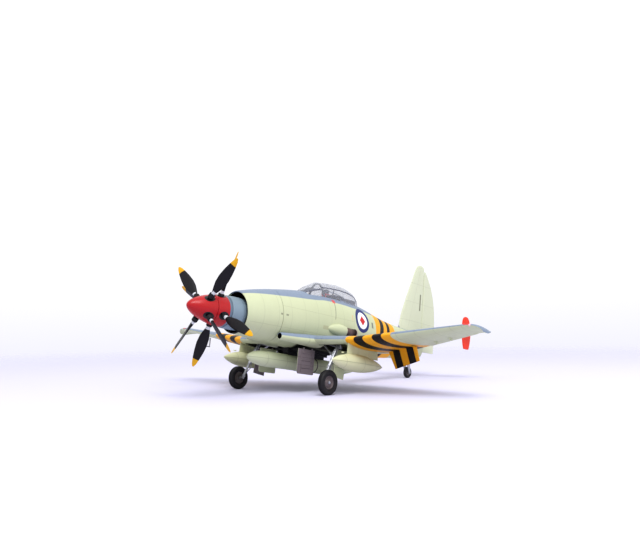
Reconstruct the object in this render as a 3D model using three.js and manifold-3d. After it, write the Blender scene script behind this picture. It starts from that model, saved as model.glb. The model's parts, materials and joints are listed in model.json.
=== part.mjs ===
// A 1/48 display model of a carrier-borne turboprop strike aircraft with contra-rotating
// propellers, standing on its three wheels with its undercarriage down.
//
// Millimetres. Inside the aircraft group X runs to the port wing tip, Y runs aft from the
// spinner's tip and Z up from the thrust line. The outer group pitches the aircraft back onto
// its tail wheel, with the tyres on Z = 0 and the aircraft's length centred on Y = 0.
import * as THREE from 'three';
import { mergeVertices } from 'three/addons/utils/BufferGeometryUtils.js';
import Module from 'manifold-3d';

const wasm = await Module();
wasm.setup();

// ---------------------------------------------------------------- driving dimensions
const GAP = 0.3; // clearance between neighbouring pieces
const WALL = 1.3; // moulded shell thickness
const COWL_FRONT_Y = 37; // intake lip
const COWL_REAR_Y = 66; // joint between nose cowl and fuselage halves
const TAIL_END_Y = 250; // end of the fuselage, and the rudder's hinge line
const HALF_SPAN = 137; // centre plane to wing tip

const PROP = { radius: 38.4, frontY: 12.5, rearY: 21.8, blades: 4, frontPhase: 46.5, rearPhase: 65.5 };
const SPINNER = { radius: 10, splitY: 17.1, rearY: 27.2 };
const BLADE = { shankRadius: 1.2, rootRadius: 4.2, chord: 7, rootPitch: 60, tipPitch: 40 };
const SHAFT = { innerRadius: 1.7, outerRadius: 3.3, frontY: 13, outerFrontY: 24, rearY: 60 };
const CONE = { frontRadius: SPINNER.radius + 0.2, lipRadius: SPINNER.radius + 1, rearRadius: SPINNER.radius - 2.5, rearY: 60 };
const BEARING = { frontY: 30.5, rearY: 37 };
const FIREWALL = { frontY: 61, rearY: 63.5 };

const WING = { rootLead: 86, rootChord: 65, rootZ: -9.6, rootThickness: 9.4 };
const FOLD = { x: 54.6, lead: 89.2, chord: 53.5, z: -9.4, thickness: 7.8 };
const PANEL_END = { x: HALF_SPAN - 12, lead: 98.8, chord: 23.1, thickness: 2.9 };
const TIP = { lead: 103, chord: 6, thickness: 1, droop: 4.5 };
const WING_DIHEDRAL = 7.5; // degrees, outboard of the fold
const WING_INCIDENCE = 3; // degrees, nose up, about the leading edge
const FLAP = { innerX: 55.6, outerX: 77.5, hinge: 0.74, drop: 66 };
const AILERON = { innerX: 83, outerX: HALF_SPAN - 15, hinge: 0.76 };
const WELL = { innerX: 19, outerX: 45, frontY: 93, rearY: 116, roofZ: -9.4 };

const FIN = { lead: TAIL_END_Y - 35, rootZ: 8, topZ: 72.9, rootThickness: 3.4, topThickness: 1.3, trailGap: 2.3 };
const RUDDER = { chord: 20.8, bottomZ: -2, topZ: 68.5, footGap: 1.2 };
const TAILPLANE = {
  rootLead: TAIL_END_Y - 18, rootChord: 26, tipLead: TAIL_END_Y - 11, tipChord: 16, tipX: 57.3,
  rootZ: 10.4, dihedral: 8.5, rootThickness: 2.6, tipThickness: 1.3, hingeY: TAIL_END_Y - 2,
};
const ELEVATOR = { innerX: 10.5, outerX: 41 };
const FINLET = { x: 43.8, lead: TAIL_END_Y - 7.5, chord: 13.5, bottomZ: 2.5, topZ: 28.5, thickness: 1.2 };

const COCKPIT = { frontY: 96, rearY: 133, halfWidth: 7.2, floorZ: 6, sillZ: 21.5, wall: 0.9 };
const CANOPY = { frontY: 91.5, splitY: 110, rearY: 156, halfWidth: 7.9, topZ: 35.6, glass: 0.9, slide: 16 };
const SEAT = { y: 122, width: 6.4, backHeight: 17, depth: 6 };
const PANEL = { y: 103, thickness: 1.2, height: 11 };
const STICK = { y: 111, height: 8, radius: 0.6, gripRadius: 0.9 };

const EXHAUST = { x: 15.4, z: 1, frontY: 119, rearY: 138.5, radius: 2.7, wall: 0.6, splay: 6 };
const EXHAUST_FAIRING = { length: 26, width: 7.4, height: 7.8, y: 117 };
const ROOT_INTAKE = { frontY: 64.5, rearY: 96, x: 14.6, z: -10.4, radius: 2.2, bore: 1.4, boreDepth: 7 };

const MAIN_WHEEL = { x: 41.5, y: 84, z: -37.6, radius: 8.1, width: 4.2, hubRadius: 4.4, sides: 24 };
const MAIN_LEG = { x: 37, topY: 98, radius: 1.2, footRadius: 0.9, axleRadius: 0.8 };
const GEAR_DOOR = { x: 17.7, frontY: 80, length: 16, topZ: -16.4, height: 16.5, thickness: 0.7 };
const LEG_DOOR = { topZ: -15.5, height: 19, width: 9.4, thickness: 0.7, gap: 0.6 };
const TAIL_WHEEL = { y: TAIL_END_Y - 16, z: -19, radius: 4.7, width: 2.6, sides: 18 };
const TAIL_FORK = { y: TAIL_END_Y - 19, stemRadius: 1.2, stemTopZ: -3.5, crownZ: -11, armThickness: 0.8, axleRadius: 0.7 };

const STORE = { frontY: 52, rearY: 161, radius: 5.2, z: -25 };
const CRUTCH = { frontY: 94, length: 26, width: 2.6 };
const TANK = { x: 50, frontY: 76.2, rearY: 129, radius: 5.7, z: -23.7 };
const PYLON = { frontY: 91, topLength: 28, bottomLength: 33, width: 2.4 };
const PITOT = { x: 37 - HALF_SPAN, radius: 0.45, stem: 7, reach: 11, y: 104 };

// Fuselage sections: place along the fuselage from 0 at the intake lip to 1 at the tail end,
// top and bottom heights, greatest half width and the height where it lies.
const SECTIONS = [
  { at: 0, top: SPINNER.radius + 3.2, bottom: -SPINNER.radius - 2.5, half: SPINNER.radius + 2.8, waist: 0.4 },
  { at: 0.03, top: SPINNER.radius + 4.9, bottom: -SPINNER.radius - 2.9, half: SPINNER.radius + 3.7, waist: 0.6 },
  { at: 0.08, top: 17.4, bottom: -13.7, half: 14.6, waist: 1.2 },
  { at: 0.14, top: 20.2, bottom: -14.6, half: 15.2, waist: 1.8 },
  { at: 0.26, top: 24.6, bottom: -15.6, half: 15.8, waist: 2.5 },
  { at: 0.41, top: 26.7, bottom: -15.6, half: 15.4, waist: 2.9 },
  { at: 0.56, top: 25.8, bottom: -14.4, half: 13.5, waist: 3.8 },
  { at: 0.71, top: 20.8, bottom: -11.7, half: 10.4, waist: 4.2 },
  { at: 0.81, top: 18, bottom: -9.6, half: 8.3, waist: 4.2 },
  { at: 1, top: 14.6, bottom: -4.8, half: 3.3, waist: 4.2 },
];

// ---------------------------------------------------------------- materials
const plastic = (color, roughness = 0.55) => new THREE.MeshStandardMaterial({ color, roughness });
const metal = (color, roughness = 0.4) => new THREE.MeshStandardMaterial({ color, roughness, metalness: 0.9 });
const SKY = plastic(0xc6cbb0);
const GREY = plastic(0x8e9aa6);
const RED = plastic(0xa01e24, 0.35);
const BLADE_BLACK = plastic(0x1a1722);
const FINLET_RED = plastic(0xe03a20);
const STORE_GREEN = plastic(0xb4bb9c);
const COCKPIT_GREY = plastic(0x6d7378);
const SEAT_BLACK = plastic(0x2a2626);
const DOOR_GREY = plastic(0x766d6d);
const RUBBER = plastic(0x1d181a, 0.8);
const HUB_GREY = plastic(0x746b6f);
const SILVER = metal(0xc4c6ca);
const STEEL = metal(0x8a8078);
const GLASS = new THREE.MeshStandardMaterial({ color: 0xe4ecf0, roughness: 0.05, transparent: true, opacity: 0.35 });

// ---------------------------------------------------------------- solids
const radians = THREE.MathUtils.degToRad;
const at = (x, y, z) => new THREE.Vector3(x, y, z);

// Signed volume tells which way a closed mesh's faces point.
function facesOut(geometry) {
  const p = geometry.attributes.position;
  const index = geometry.index.array;
  const [a, b, c] = [at(0, 0, 0), at(0, 0, 0), at(0, 0, 0)];
  let volume = 0;
  for (let i = 0; i < index.length; i += 3) {
    a.fromBufferAttribute(p, index[i]);
    b.fromBufferAttribute(p, index[i + 1]);
    c.fromBufferAttribute(p, index[i + 2]);
    volume += a.dot(b.cross(c));
  }
  if (volume > 0) return geometry;
  return geometry.setIndex([...index].reverse());
}

// Turn any closed geometry into a solid, with its shared points merged and slivers dropped.
function solid(geometry) {
  const bare = new THREE.BufferGeometry();
  bare.setAttribute('position', geometry.attributes.position.clone());
  if (geometry.index) bare.setIndex([...geometry.index.array]);
  const merged = mergeVertices(bare, 1e-4);
  const index = merged.index.array;
  const kept = [];
  for (let i = 0; i < index.length; i += 3) {
    const [a, b, c] = [index[i], index[i + 1], index[i + 2]];
    if (a !== b && b !== c && c !== a) kept.push(a, b, c);
  }
  merged.setIndex(kept);
  facesOut(merged);
  return new wasm.Manifold(new wasm.Mesh({
    numProp: 3,
    vertProperties: new Float32Array(merged.attributes.position.array),
    triVerts: new Uint32Array(merged.index.array),
  }));
}

// A closed skin over rings of equally many points, with a flat cap at each end.
function loft(rings) {
  const count = rings[0].length;
  const points = rings.flat();
  const faces = [];
  for (let ring = 0; ring < rings.length - 1; ring++) {
    for (let i = 0; i < count; i++) {
      const a = ring * count + i;
      const b = ring * count + ((i + 1) % count);
      faces.push(a, b, a + count, b, b + count, a + count);
    }
  }
  const cap = (first, flip) => {
    const centre = points.length;
    const ring = points.slice(first, first + count);
    points.push(ring.reduce((sum, p) => sum.add(p), at(0, 0, 0)).divideScalar(count));
    for (let i = 0; i < count; i++) {
      const pair = [first + i, first + ((i + 1) % count)];
      faces.push(centre, ...(flip ? pair : pair.reverse()));
    }
  };
  cap(0, false);
  cap((rings.length - 1) * count, true);
  const geometry = new THREE.BufferGeometry().setFromPoints(points);
  geometry.setIndex(faces);
  return solid(geometry);
}

// A solid turned about the Y axis from [radius, y] pairs that start and end on the axis, or
// that go once round a ring's section.
function turned(profile, sides) {
  return solid(new THREE.LatheGeometry(profile.map(([r, y]) => new THREE.Vector2(r, y)), sides));
}

function tube(innerRadius, outerRadius, frontY, rearY, sides) {
  const section = [[innerRadius, frontY], [outerRadius, frontY], [outerRadius, rearY], [innerRadius, rearY]];
  return turned([...section, section[0]], sides);
}

const rod = (radius, frontY, rearY, sides = 14) => turned([[0, frontY], [radius, frontY], [radius, rearY], [0, rearY]], sides);

function box(x0, x1, y0, y1, z0, z1) {
  const shape = new THREE.BoxGeometry(x1 - x0, y1 - y0, z1 - z0);
  return solid(shape.translate((x0 + x1) / 2, (y0 + y1) / 2, (z0 + z1) / 2));
}

// A rod between two points.
function strut(from, to, radius, sides = 12) {
  const shape = new THREE.CylinderGeometry(radius, radius, from.distanceTo(to), sides);
  const turn = new THREE.Quaternion().setFromUnitVectors(at(0, 1, 0), to.clone().sub(from).normalize());
  shape.applyQuaternion(turn);
  const middle = from.clone().add(to).divideScalar(2);
  return solid(shape.translate(middle.x, middle.y, middle.z));
}

// A plate in the YZ plane, centred on x, from [y, z] corners.
function plate(corners, x, thickness) {
  const outline = new THREE.Shape(corners.map(([y, z]) => new THREE.Vector2(y, z)));
  const shape = new THREE.ExtrudeGeometry(outline, { depth: thickness, bevelEnabled: false, curveSegments: 6 });
  shape.rotateY(Math.PI / 2);
  shape.rotateX(Math.PI / 2);
  return solid(shape.translate(x - thickness / 2, 0, 0));
}

const mirrored = (shape) => shape.mirror([1, 0, 0]);
const moved = (shape, x, y, z) => shape.translate([x, y, z]);
const cut = (shape, ...tools) => tools.reduce((left, tool) => left.subtract(tool), shape);
const joined = (shape, ...others) => others.reduce((sum, other) => sum.add(other), shape);

// ---------------------------------------------------------------- the assembly's groups
const aircraft = new THREE.Group(); // pitched onto its wheels
const object = new THREE.Group();
object.add(aircraft);

function part(name, shape, material, parent = aircraft) {
  const { vertProperties, triVerts } = shape.getMesh();
  const geometry = new THREE.BufferGeometry();
  geometry.setAttribute('position', new THREE.BufferAttribute(new Float32Array(vertProperties), 3));
  geometry.setIndex(new THREE.BufferAttribute(new Uint32Array(triVerts), 1));
  geometry.computeVertexNormals();
  const mesh = new THREE.Mesh(geometry, material);
  mesh.name = name;
  parent.add(mesh);
  return mesh;
}

// The same piece on both sides: the shape given is the port one.
function pair(name, shape, material) {
  part(`${name}_left`, shape, material);
  part(`${name}_right`, mirrored(shape), material);
}

// ---------------------------------------------------------------- fuselage form
const FUSELAGE_LENGTH = TAIL_END_Y - COWL_FRONT_Y;

// One measure of the fuselage at a place along it: a cubic through the sections, level with
// the chord between neighbours at each of them.
function along(key, y) {
  const place = (y - COWL_FRONT_Y) / FUSELAGE_LENGTH;
  const last = SECTIONS.length - 1;
  let i = 0;
  while (i < last - 1 && place > SECTIONS[i + 1].at) i++;
  const slope = (k) => {
    const before = SECTIONS[Math.max(k - 1, 0)];
    const after = SECTIONS[Math.min(k + 1, last)];
    return (after[key] - before[key]) / (after.at - before.at);
  };
  const span = SECTIONS[i + 1].at - SECTIONS[i].at;
  const t = THREE.MathUtils.clamp((place - SECTIONS[i].at) / span, 0, 1);
  const [p0, p1] = [SECTIONS[i][key], SECTIONS[i + 1][key]];
  const [m0, m1] = [slope(i) * span, slope(i + 1) * span];
  const [t2, t3] = [t * t, t * t * t];
  return (2 * t3 - 3 * t2 + 1) * p0 + (t3 - 2 * t2 + t) * m0 + (3 * t2 - 2 * t3) * p1 + (t3 - t2) * m1;
}

const RING_POINTS = 24;

function fuselageRing(y, grow) {
  const [top, bottom, half, waist] = ['top', 'bottom', 'half', 'waist'].map((key) => along(key, y));
  return Array.from({ length: RING_POINTS }, (_, i) => {
    const angle = (i / RING_POINTS) * 2 * Math.PI;
    const rise = Math.sin(angle) > 0 ? top - waist + grow : waist - bottom + grow;
    return at((half + grow) * Math.cos(angle), y, waist + rise * Math.sin(angle));
  });
}

function fuselageSolid(frontY, rearY, grow, steps) {
  const rings = Array.from({ length: steps + 1 }, (_, i) => fuselageRing(frontY + ((rearY - frontY) * i) / steps, grow));
  return loft(rings);
}

const OVERRUN = 2; // how far a cutting shape runs past what it cuts
const clearance = fuselageSolid(COWL_FRONT_Y, TAIL_END_Y + GAP, GAP, 16);

// ---------------------------------------------------------------- wing form
// Thickness of a symmetrical section along its chord, as a share of its greatest thickness.
const fullness = (s) => 9.9 * (0.2969 * Math.sqrt(s) - 0.126 * s - 0.3516 * s ** 2 + 0.2843 * s ** 3 - 0.1036 * s ** 4);
const CHORD_POINTS = [1, 0.85, 0.65, 0.45, 0.27, 0.13, 0.05, 0.012];
const TRAILING_EDGE = 0.25; // half thickness of a trailing edge
const BAY_REACH = 40; // further than any hinged surface's trailing edge or thickness

// A wing section at x: lead and z place its nose, slope is its chord line's fall per mm aft.
function wingRing({ x, lead, chord, z, thickness, slope = 0 }, grow = 0) {
  const point = (s, side) => {
    const half = Math.max((fullness(s) * thickness) / 2, s > 0.5 ? TRAILING_EDGE : 0) + grow;
    return at(x, lead - grow + s * (chord + 2 * grow), z - s * chord * slope + side * half);
  };
  const upper = CHORD_POINTS.map((s) => point(s, 1));
  const lower = [...CHORD_POINTS].reverse().map((s) => point(s, -1));
  return [...upper, at(x, lead - grow, z), ...lower];
}

const PANEL_LENGTH = PANEL_END.x - FOLD.x;
const WING_SLOPE = Math.tan(radians(WING_INCIDENCE));
const wingRise = (x) => FOLD.z + (x - FOLD.x) * Math.tan(radians(WING_DIHEDRAL));

// Straight taper from the fold to the end of the outer panel.
function outerStation(x) {
  const t = (x - FOLD.x) / PANEL_LENGTH;
  const mix = (key) => THREE.MathUtils.lerp(FOLD[key], PANEL_END[key], t);
  return { x, lead: mix('lead'), chord: mix('chord'), thickness: mix('thickness'), z: wingRise(x), slope: WING_SLOPE };
}

// The rounded tip: a quarter ellipse in plan, with its nose sweeping back.
function tipStation(share) {
  const angle = share * (Math.PI / 2);
  const x = PANEL_END.x + (HALF_SPAN - PANEL_END.x) * Math.sin(angle);
  const left = Math.cos(angle);
  return {
    x,
    lead: TIP.lead + (PANEL_END.lead - TIP.lead) * left,
    chord: TIP.chord + (PANEL_END.chord - TIP.chord) * left,
    thickness: TIP.thickness + (PANEL_END.thickness - TIP.thickness) * left,
    z: wingRise(x) - TIP.droop * (1 - left),
    slope: WING_SLOPE,
  };
}

const ROOT_STATION = {
  x: 0, lead: WING.rootLead, chord: WING.rootChord, z: WING.rootZ, thickness: WING.rootThickness, slope: WING_SLOPE,
};

function wingCentreSolid(grow, halfWidth) {
  const centre = wingRing(ROOT_STATION, grow);
  const port = wingRing({ ...FOLD, x: halfWidth, slope: WING_SLOPE }, grow);
  const starboard = wingRing({ ...FOLD, x: -halfWidth, slope: WING_SLOPE }, grow);
  return loft([starboard, centre, port]);
}

function wingOuterSolid(grow) {
  const shares = [0, 0.3, 0.55, 0.78, 1];
  return loft([wingRing(outerStation(FOLD.x + GAP), grow), ...shares.map((share) => wingRing(tipStation(share), grow))]);
}

const wingClearance = wingCentreSolid(GAP, FOLD.x);

// ---------------------------------------------------------------- hinged surfaces
// The directions of a hinged surface: along its hinge line, aft across it, and through its
// thickness, which lies nearest to the given direction.
function hingeFrame(ends, thicknessHint) {
  const axis = ends.at(-1).hinge.clone().sub(ends[0].hinge).normalize();
  const aft = thicknessHint.clone().cross(axis).normalize();
  return { axis, aft, through: axis.clone().cross(aft) };
}

// A surface from its rounded nose on the hinge line to its trailing edge. Each end is
// { hinge: Vector3, nose: radius, trail: distance aft of the hinge }.
function surfaceSolid(ends, { aft, through }) {
  return loft(ends.map(({ hinge, nose, trail }) => {
    const place = (y, height) => hinge.clone().addScaledVector(aft, y).addScaledVector(through, height);
    const round = [90, 135, 180, 225, 270].map((a) => place(nose * Math.cos(radians(a)), nose * Math.sin(radians(a))));
    return [...round, place(trail, -TRAILING_EDGE), place(trail, TRAILING_EDGE)];
  }));
}

// The opening behind a hinge line that its surface needs, between two ends as above.
function surfaceBay([inner, outer], { axis, aft, through }) {
  const face = ({ hinge, nose }, shift) => {
    const place = (y, height) => hinge.clone().addScaledVector(axis, shift).addScaledVector(aft, y)
      .addScaledVector(through, height);
    return [[-nose - GAP, BAY_REACH], [BAY_REACH, BAY_REACH], [BAY_REACH, -BAY_REACH], [-nose - GAP, -BAY_REACH]]
      .map(([y, height]) => place(y, height));
  };
  return loft([face(inner, -GAP), face(outer, GAP)]);
}

// Turn a solid about a line through a point.
function turnedAbout(shape, point, axis, degrees) {
  const spin = new THREE.Matrix4().makeRotationAxis(axis, radians(degrees));
  const matrix = new THREE.Matrix4().makeTranslation(point).multiply(spin);
  matrix.multiply(new THREE.Matrix4().makeTranslation(point.clone().negate()));
  return shape.transform([...matrix.elements]);
}

function wingSurfaceEnd(x, hingeShare) {
  const station = outerStation(x);
  const nose = (fullness(hingeShare) * station.thickness) / 2;
  const aft = hingeShare * station.chord;
  const hinge = at(x, station.lead + aft, station.z - aft * WING_SLOPE);
  return { hinge, nose, trail: (1 - hingeShare) * station.chord };
}

const UP = at(0, 0, 1);
const STARBOARD = at(-1, 0, 0);
const flapEnds = [FLAP.innerX, FLAP.outerX].map((x) => wingSurfaceEnd(x, FLAP.hinge));
const aileronEnds = [AILERON.innerX, AILERON.outerX].map((x) => wingSurfaceEnd(x, AILERON.hinge));
const WING_UP = at(0, Math.sin(radians(WING_INCIDENCE)), Math.cos(radians(WING_INCIDENCE)));
const flapFrame = hingeFrame(flapEnds, WING_UP);
const aileronFrame = hingeFrame(aileronEnds, WING_UP);

// ---------------------------------------------------------------- fuselage, nose and cockpit
function exhaustLine() {
  const splay = Math.tan(radians(EXHAUST.splay)) * (EXHAUST.rearY - EXHAUST.frontY);
  return [at(EXHAUST.x, EXHAUST.frontY, EXHAUST.z), at(EXHAUST.x + splay, EXHAUST.rearY, EXHAUST.z)];
}

function exhaustBore(radius, overrun) {
  const [front, rear] = exhaustLine();
  const along1 = rear.clone().sub(front).normalize();
  return strut(front.addScaledVector(along1, -overrun), rear.addScaledVector(along1, overrun), radius, 12);
}

function exhaustFairing() {
  const bulge = new THREE.SphereGeometry(0.5, 12, 8);
  bulge.rotateX(Math.PI / 2);
  bulge.scale(EXHAUST_FAIRING.width, EXHAUST_FAIRING.length, EXHAUST_FAIRING.height);
  return solid(bulge.translate(EXHAUST.x, EXHAUST_FAIRING.y, EXHAUST.z));
}

function fuselage() {
  const front = COWL_REAR_Y + GAP;
  const outer = fuselageSolid(front, TAIL_END_Y, 0, 13);
  const inner = fuselageSolid(front - OVERRUN, TAIL_END_Y + OVERRUN, -WALL, 8);
  const fairing = exhaustFairing();
  const bore = exhaustBore(EXHAUST.radius + GAP, 0.3);
  const opening = box(-COCKPIT.halfWidth - GAP, COCKPIT.halfWidth + GAP, COCKPIT.frontY - GAP, COCKPIT.rearY + GAP,
    COCKPIT.floorZ, CANOPY.topZ);
  const stemHole = moved(strut(at(0, 0, TAIL_WHEEL.z), at(0, 0, 0), TAIL_FORK.stemRadius + GAP, 10), 0, TAIL_FORK.y, 0);
  const body = cut(joined(outer, fairing, mirrored(fairing)), inner);
  const shell = cut(body, bore, mirrored(bore), wingClearance, opening, stemHole);
  const portSide = box(GAP / 2, HALF_SPAN, 0, TAIL_END_Y + OVERRUN, -HALF_SPAN, HALF_SPAN);
  pair('fuselage', shell.intersect(portSide), SKY);
}

function exhausts() {
  const pipe = cut(exhaustBore(EXHAUST.radius, 0), exhaustBore(EXHAUST.radius - EXHAUST.wall, OVERRUN));
  pair('exhaust', pipe, STEEL);
}

function noseCowl() {
  const lip = 0.6;
  const steps = [COWL_FRONT_Y + lip, 41, 47, 55, COWL_REAR_Y];
  const outer = loft([fuselageRing(COWL_FRONT_Y, -lip), ...steps.map((y) => fuselageRing(y, 0))]);
  const inner = fuselageSolid(COWL_FRONT_Y - OVERRUN, COWL_REAR_Y + OVERRUN, -WALL, 3);
  const firewall = fuselageSolid(FIREWALL.frontY, FIREWALL.rearY, -WALL / 2, 1);
  part('nose_cowl', joined(cut(outer, inner), firewall), SKY);
}

function intakeCone() {
  const bore = SHAFT.outerRadius + GAP;
  const front = SPINNER.rearY + GAP;
  const outside = [[CONE.frontRadius, front], [CONE.lipRadius, COWL_FRONT_Y + 1], [CONE.rearRadius, CONE.rearY]];
  const inside = [
    [CONE.rearRadius - WALL, CONE.rearY], [CONE.lipRadius - WALL, COWL_FRONT_Y + 1],
    [CONE.frontRadius - WALL, front + WALL], [bore, front + WALL],
  ];
  part('intake_cone', turned([[bore, front], ...outside, ...inside, [bore, front]], 24), GREY);
  const bearing = tube(bore, CONE.frontRadius - WALL - GAP, BEARING.frontY, BEARING.rearY, 20);
  part('prop_bearing', bearing, STEEL);
}

// Radius of the spinner's outside at a distance from its tip.
function spinnerRadius(y) {
  const left = Math.max(1 - y / SPINNER.rearY, 0);
  return SPINNER.radius * (1 - left ** 1.7) ** 0.6;
}

function bladeSockets(y) {
  const socket = strut(at(BLADE.rootRadius - GAP, y, 0), at(SPINNER.radius + OVERRUN, y, 0), BLADE.shankRadius + GAP);
  return Array.from({ length: PROP.blades }, (_, i) => i * (360 / PROP.blades))
    .map((turn) => socket.rotate([0, -turn, 0]));
}

function spinners() {
  const split = SPINNER.splitY - GAP / 2;
  const noseSteps = [0.8, 3, 7, 12].map((y) => [spinnerRadius(y), y]);
  const nose = turned([[0, 0], ...noseSteps, [spinnerRadius(split), split], [0, split]], 20);
  const shaftBore = rod(SHAFT.innerRadius + GAP, SHAFT.frontY - GAP, SHAFT.rearY);
  const front = cut(nose, shaftBore, ...bladeSockets(PROP.frontY));
  part('spinner_front', front.rotate([0, -PROP.frontPhase, 0]), RED);

  const seam = SPINNER.splitY + GAP / 2;
  const tailSteps = [seam, 21.5, SPINNER.rearY].map((y) => [spinnerRadius(y), y]);
  const bore = SHAFT.innerRadius + GAP;
  const collar = SHAFT.outerRadius + GAP;
  const section = [
    [bore, seam], ...tailSteps, [collar, SPINNER.rearY], [collar, SHAFT.outerFrontY - GAP],
    [bore, SHAFT.outerFrontY - GAP], [bore, seam],
  ];
  const rear = cut(turned(section, 20), ...bladeSockets(PROP.rearY));
  part('spinner_rear', rear.rotate([0, -PROP.rearPhase, 0]), RED);
  part('prop_shaft_inner', rod(SHAFT.innerRadius, SHAFT.frontY, SHAFT.rearY), STEEL);
  part('prop_shaft_outer', tube(SHAFT.innerRadius + GAP, SHAFT.outerRadius, SHAFT.outerFrontY, SHAFT.rearY, 20), STEEL);
}

// A blade along +X with its shank on the axis: reach is the share of the way from its shank's
// foot to its tip, chord and thickness are in shank diameters at the foot and blend to the blade.
const BLADE_FORM = [
  { reach: 0, chord: 0, thickness: 2 * BLADE.shankRadius },
  { reach: 0.24, chord: 0, thickness: 2 * BLADE.shankRadius },
  { reach: 0.31, chord: 0.62, thickness: 1.9 },
  { reach: 0.42, chord: 0.92, thickness: 1.5 },
  { reach: 0.55, chord: 1, thickness: 1.2 },
  { reach: 0.7, chord: 0.86, thickness: 1 },
  { reach: 0.84, chord: 0.6, thickness: 0.8 },
  { reach: 0.94, chord: 0.34, thickness: 0.6 },
  { reach: 1, chord: 0.1, thickness: 0.4 },
];

function bladeSolid(hand) {
  const sides = 8;
  return loft(BLADE_FORM.map(({ reach, chord, thickness }) => {
    const x = THREE.MathUtils.lerp(BLADE.rootRadius, PROP.radius, reach);
    const pitch = radians(THREE.MathUtils.lerp(BLADE.rootPitch, BLADE.tipPitch, reach));
    const halfChord = Math.max(chord * BLADE.chord, chord ? 0.6 : thickness) / 2;
    return Array.from({ length: sides }, (_, i) => {
      const angle = (i / sides) * 2 * Math.PI;
      const [along2, across] = [halfChord * Math.cos(angle), (thickness / 2) * Math.sin(angle)];
      const y = hand * Math.sin(pitch) * along2 + Math.cos(pitch) * across;
      return at(x, y, Math.cos(pitch) * along2 - hand * Math.sin(pitch) * across);
    });
  }));
}

function blades() {
  const rows = [['front', PROP.frontY, PROP.frontPhase, -1], ['rear', PROP.rearY, PROP.rearPhase, 1]];
  for (const [row, y, phase, hand] of rows) {
    const blade = bladeSolid(hand);
    for (let i = 0; i < PROP.blades; i++) {
      const turn = -(phase + (i * 360) / PROP.blades);
      part(`${row}_blade_${i + 1}`, moved(blade.rotate([0, turn, 0]), 0, y, 0), BLADE_BLACK);
    }
  }
}

// The glazing's outside height over the centre line, and its half width, along the cockpit.
const GLAZING = [
  { y: CANOPY.frontY, width: 0.42, rise: 0 },
  { y: 99.5, width: 0.8, rise: 0.43 },
  { y: CANOPY.splitY, width: 0.98, rise: 0.83 },
  { y: 120, width: 1, rise: 0.94 },
  { y: 131, width: 1, rise: 1 },
  { y: 141, width: 0.98, rise: 0.95 },
  { y: 149, width: 0.9, rise: 0.78 },
  { y: 153.5, width: 0.74, rise: 0.45 },
  { y: CANOPY.rearY, width: 0.5, rise: 0.1 },
];
const GLAZING_FOOT_Z = 24; // height where the glazing starts at its front end

function glazingRing(y, grow) {
  let i = 0;
  while (i < GLAZING.length - 2 && y > GLAZING[i + 1].y) i++;
  const t = (y - GLAZING[i].y) / (GLAZING[i + 1].y - GLAZING[i].y);
  const mix = (key) => THREE.MathUtils.lerp(GLAZING[i][key], GLAZING[i + 1][key], t);
  const half = mix('width') * CANOPY.halfWidth + grow;
  const crown = GLAZING_FOOT_Z + mix('rise') * (CANOPY.topZ - GLAZING_FOOT_Z) + grow;
  const foot = COCKPIT.sillZ - OVERRUN;
  const steps = 8;
  const arch = Array.from({ length: steps + 1 }, (_, k) => {
    const angle = (k / steps) * Math.PI;
    return at(half * Math.cos(angle), y, foot + (crown - foot) * Math.sin(angle) ** 0.8);
  });
  return [...arch];
}

function glazing(frontY, rearY, openFront, openRear) {
  const stops = [frontY, ...GLAZING.map(({ y }) => y).filter((y) => y > frontY + 1 && y < rearY - 1), rearY];
  const outer = loft(stops.map((y) => glazingRing(y, 0)));
  const first = openFront ? frontY - OVERRUN : frontY + CANOPY.glass;
  const last = openRear ? rearY + OVERRUN : rearY - CANOPY.glass;
  const hollow = loft([first, ...stops.slice(1, -1), last].map((y) => glazingRing(y, -CANOPY.glass)));
  return cut(outer, hollow, moved(hollow, 0, 0, -CANOPY.glass));
}

function canopy() {
  const screen = glazing(CANOPY.frontY, CANOPY.splitY - GAP / 2, false, true);
  part('windscreen', cut(screen, clearance), GLASS);
  const hood = glazing(CANOPY.splitY + GAP / 2, CANOPY.rearY, true, false);
  const slideStops = [0, 0.5, 1].map((share) => moved(clearance, 0, -share * CANOPY.slide, 0));
  part('canopy_hood', cut(hood, ...slideStops), GLASS);
}

function cockpit() {
  const { frontY, rearY, halfWidth, floorZ, sillZ, wall } = COCKPIT;
  const tub = cut(box(-halfWidth, halfWidth, frontY, rearY, floorZ, sillZ),
    box(wall - halfWidth, halfWidth - wall, frontY + wall, rearY - wall, floorZ + wall, sillZ + OVERRUN));
  const grip = at(0, STICK.y, floorZ + wall + STICK.height);
  const stick = joined(
    strut(at(0, STICK.y, floorZ + wall / 2), grip, STICK.radius),
    strut(grip, at(0, STICK.y, grip.z + 2), STICK.gripRadius),
  );
  part('cockpit_tub', joined(tub, stick), COCKPIT_GREY);

  const floor = floorZ + wall + GAP;
  const inside = halfWidth - wall - GAP;
  const panel = box(-inside, inside, PANEL.y, PANEL.y + PANEL.thickness, sillZ + 1 - PANEL.height, sillZ + 1);
  part('instrument_panel', panel, SEAT_BLACK);

  const half = SEAT.width / 2;
  const cushionTop = floor + 3.4;
  const cushion = box(-half, half, SEAT.y - SEAT.depth, SEAT.y, floor, cushionTop);
  const back = box(-half, half, SEAT.y - 0.1, SEAT.y + 1.6, floor, floor + SEAT.backHeight - 3);
  const headrest = box(-half * 0.55, half * 0.55, SEAT.y - 0.9, SEAT.y + 1.6, floor + SEAT.backHeight - 3.2,
    floor + SEAT.backHeight);
  part('pilot_seat', joined(cushion, back, headrest), SEAT_BLACK);
}

// ---------------------------------------------------------------- wings
function wingCentre() {
  const body = wingCentreSolid(0, FOLD.x);
  const well = box(WELL.innerX, WELL.outerX, WELL.frontY, WELL.rearY, -HALF_SPAN, WELL.roofZ);
  part('wing_centre', cut(body, well, mirrored(well)), SKY);
}

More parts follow.
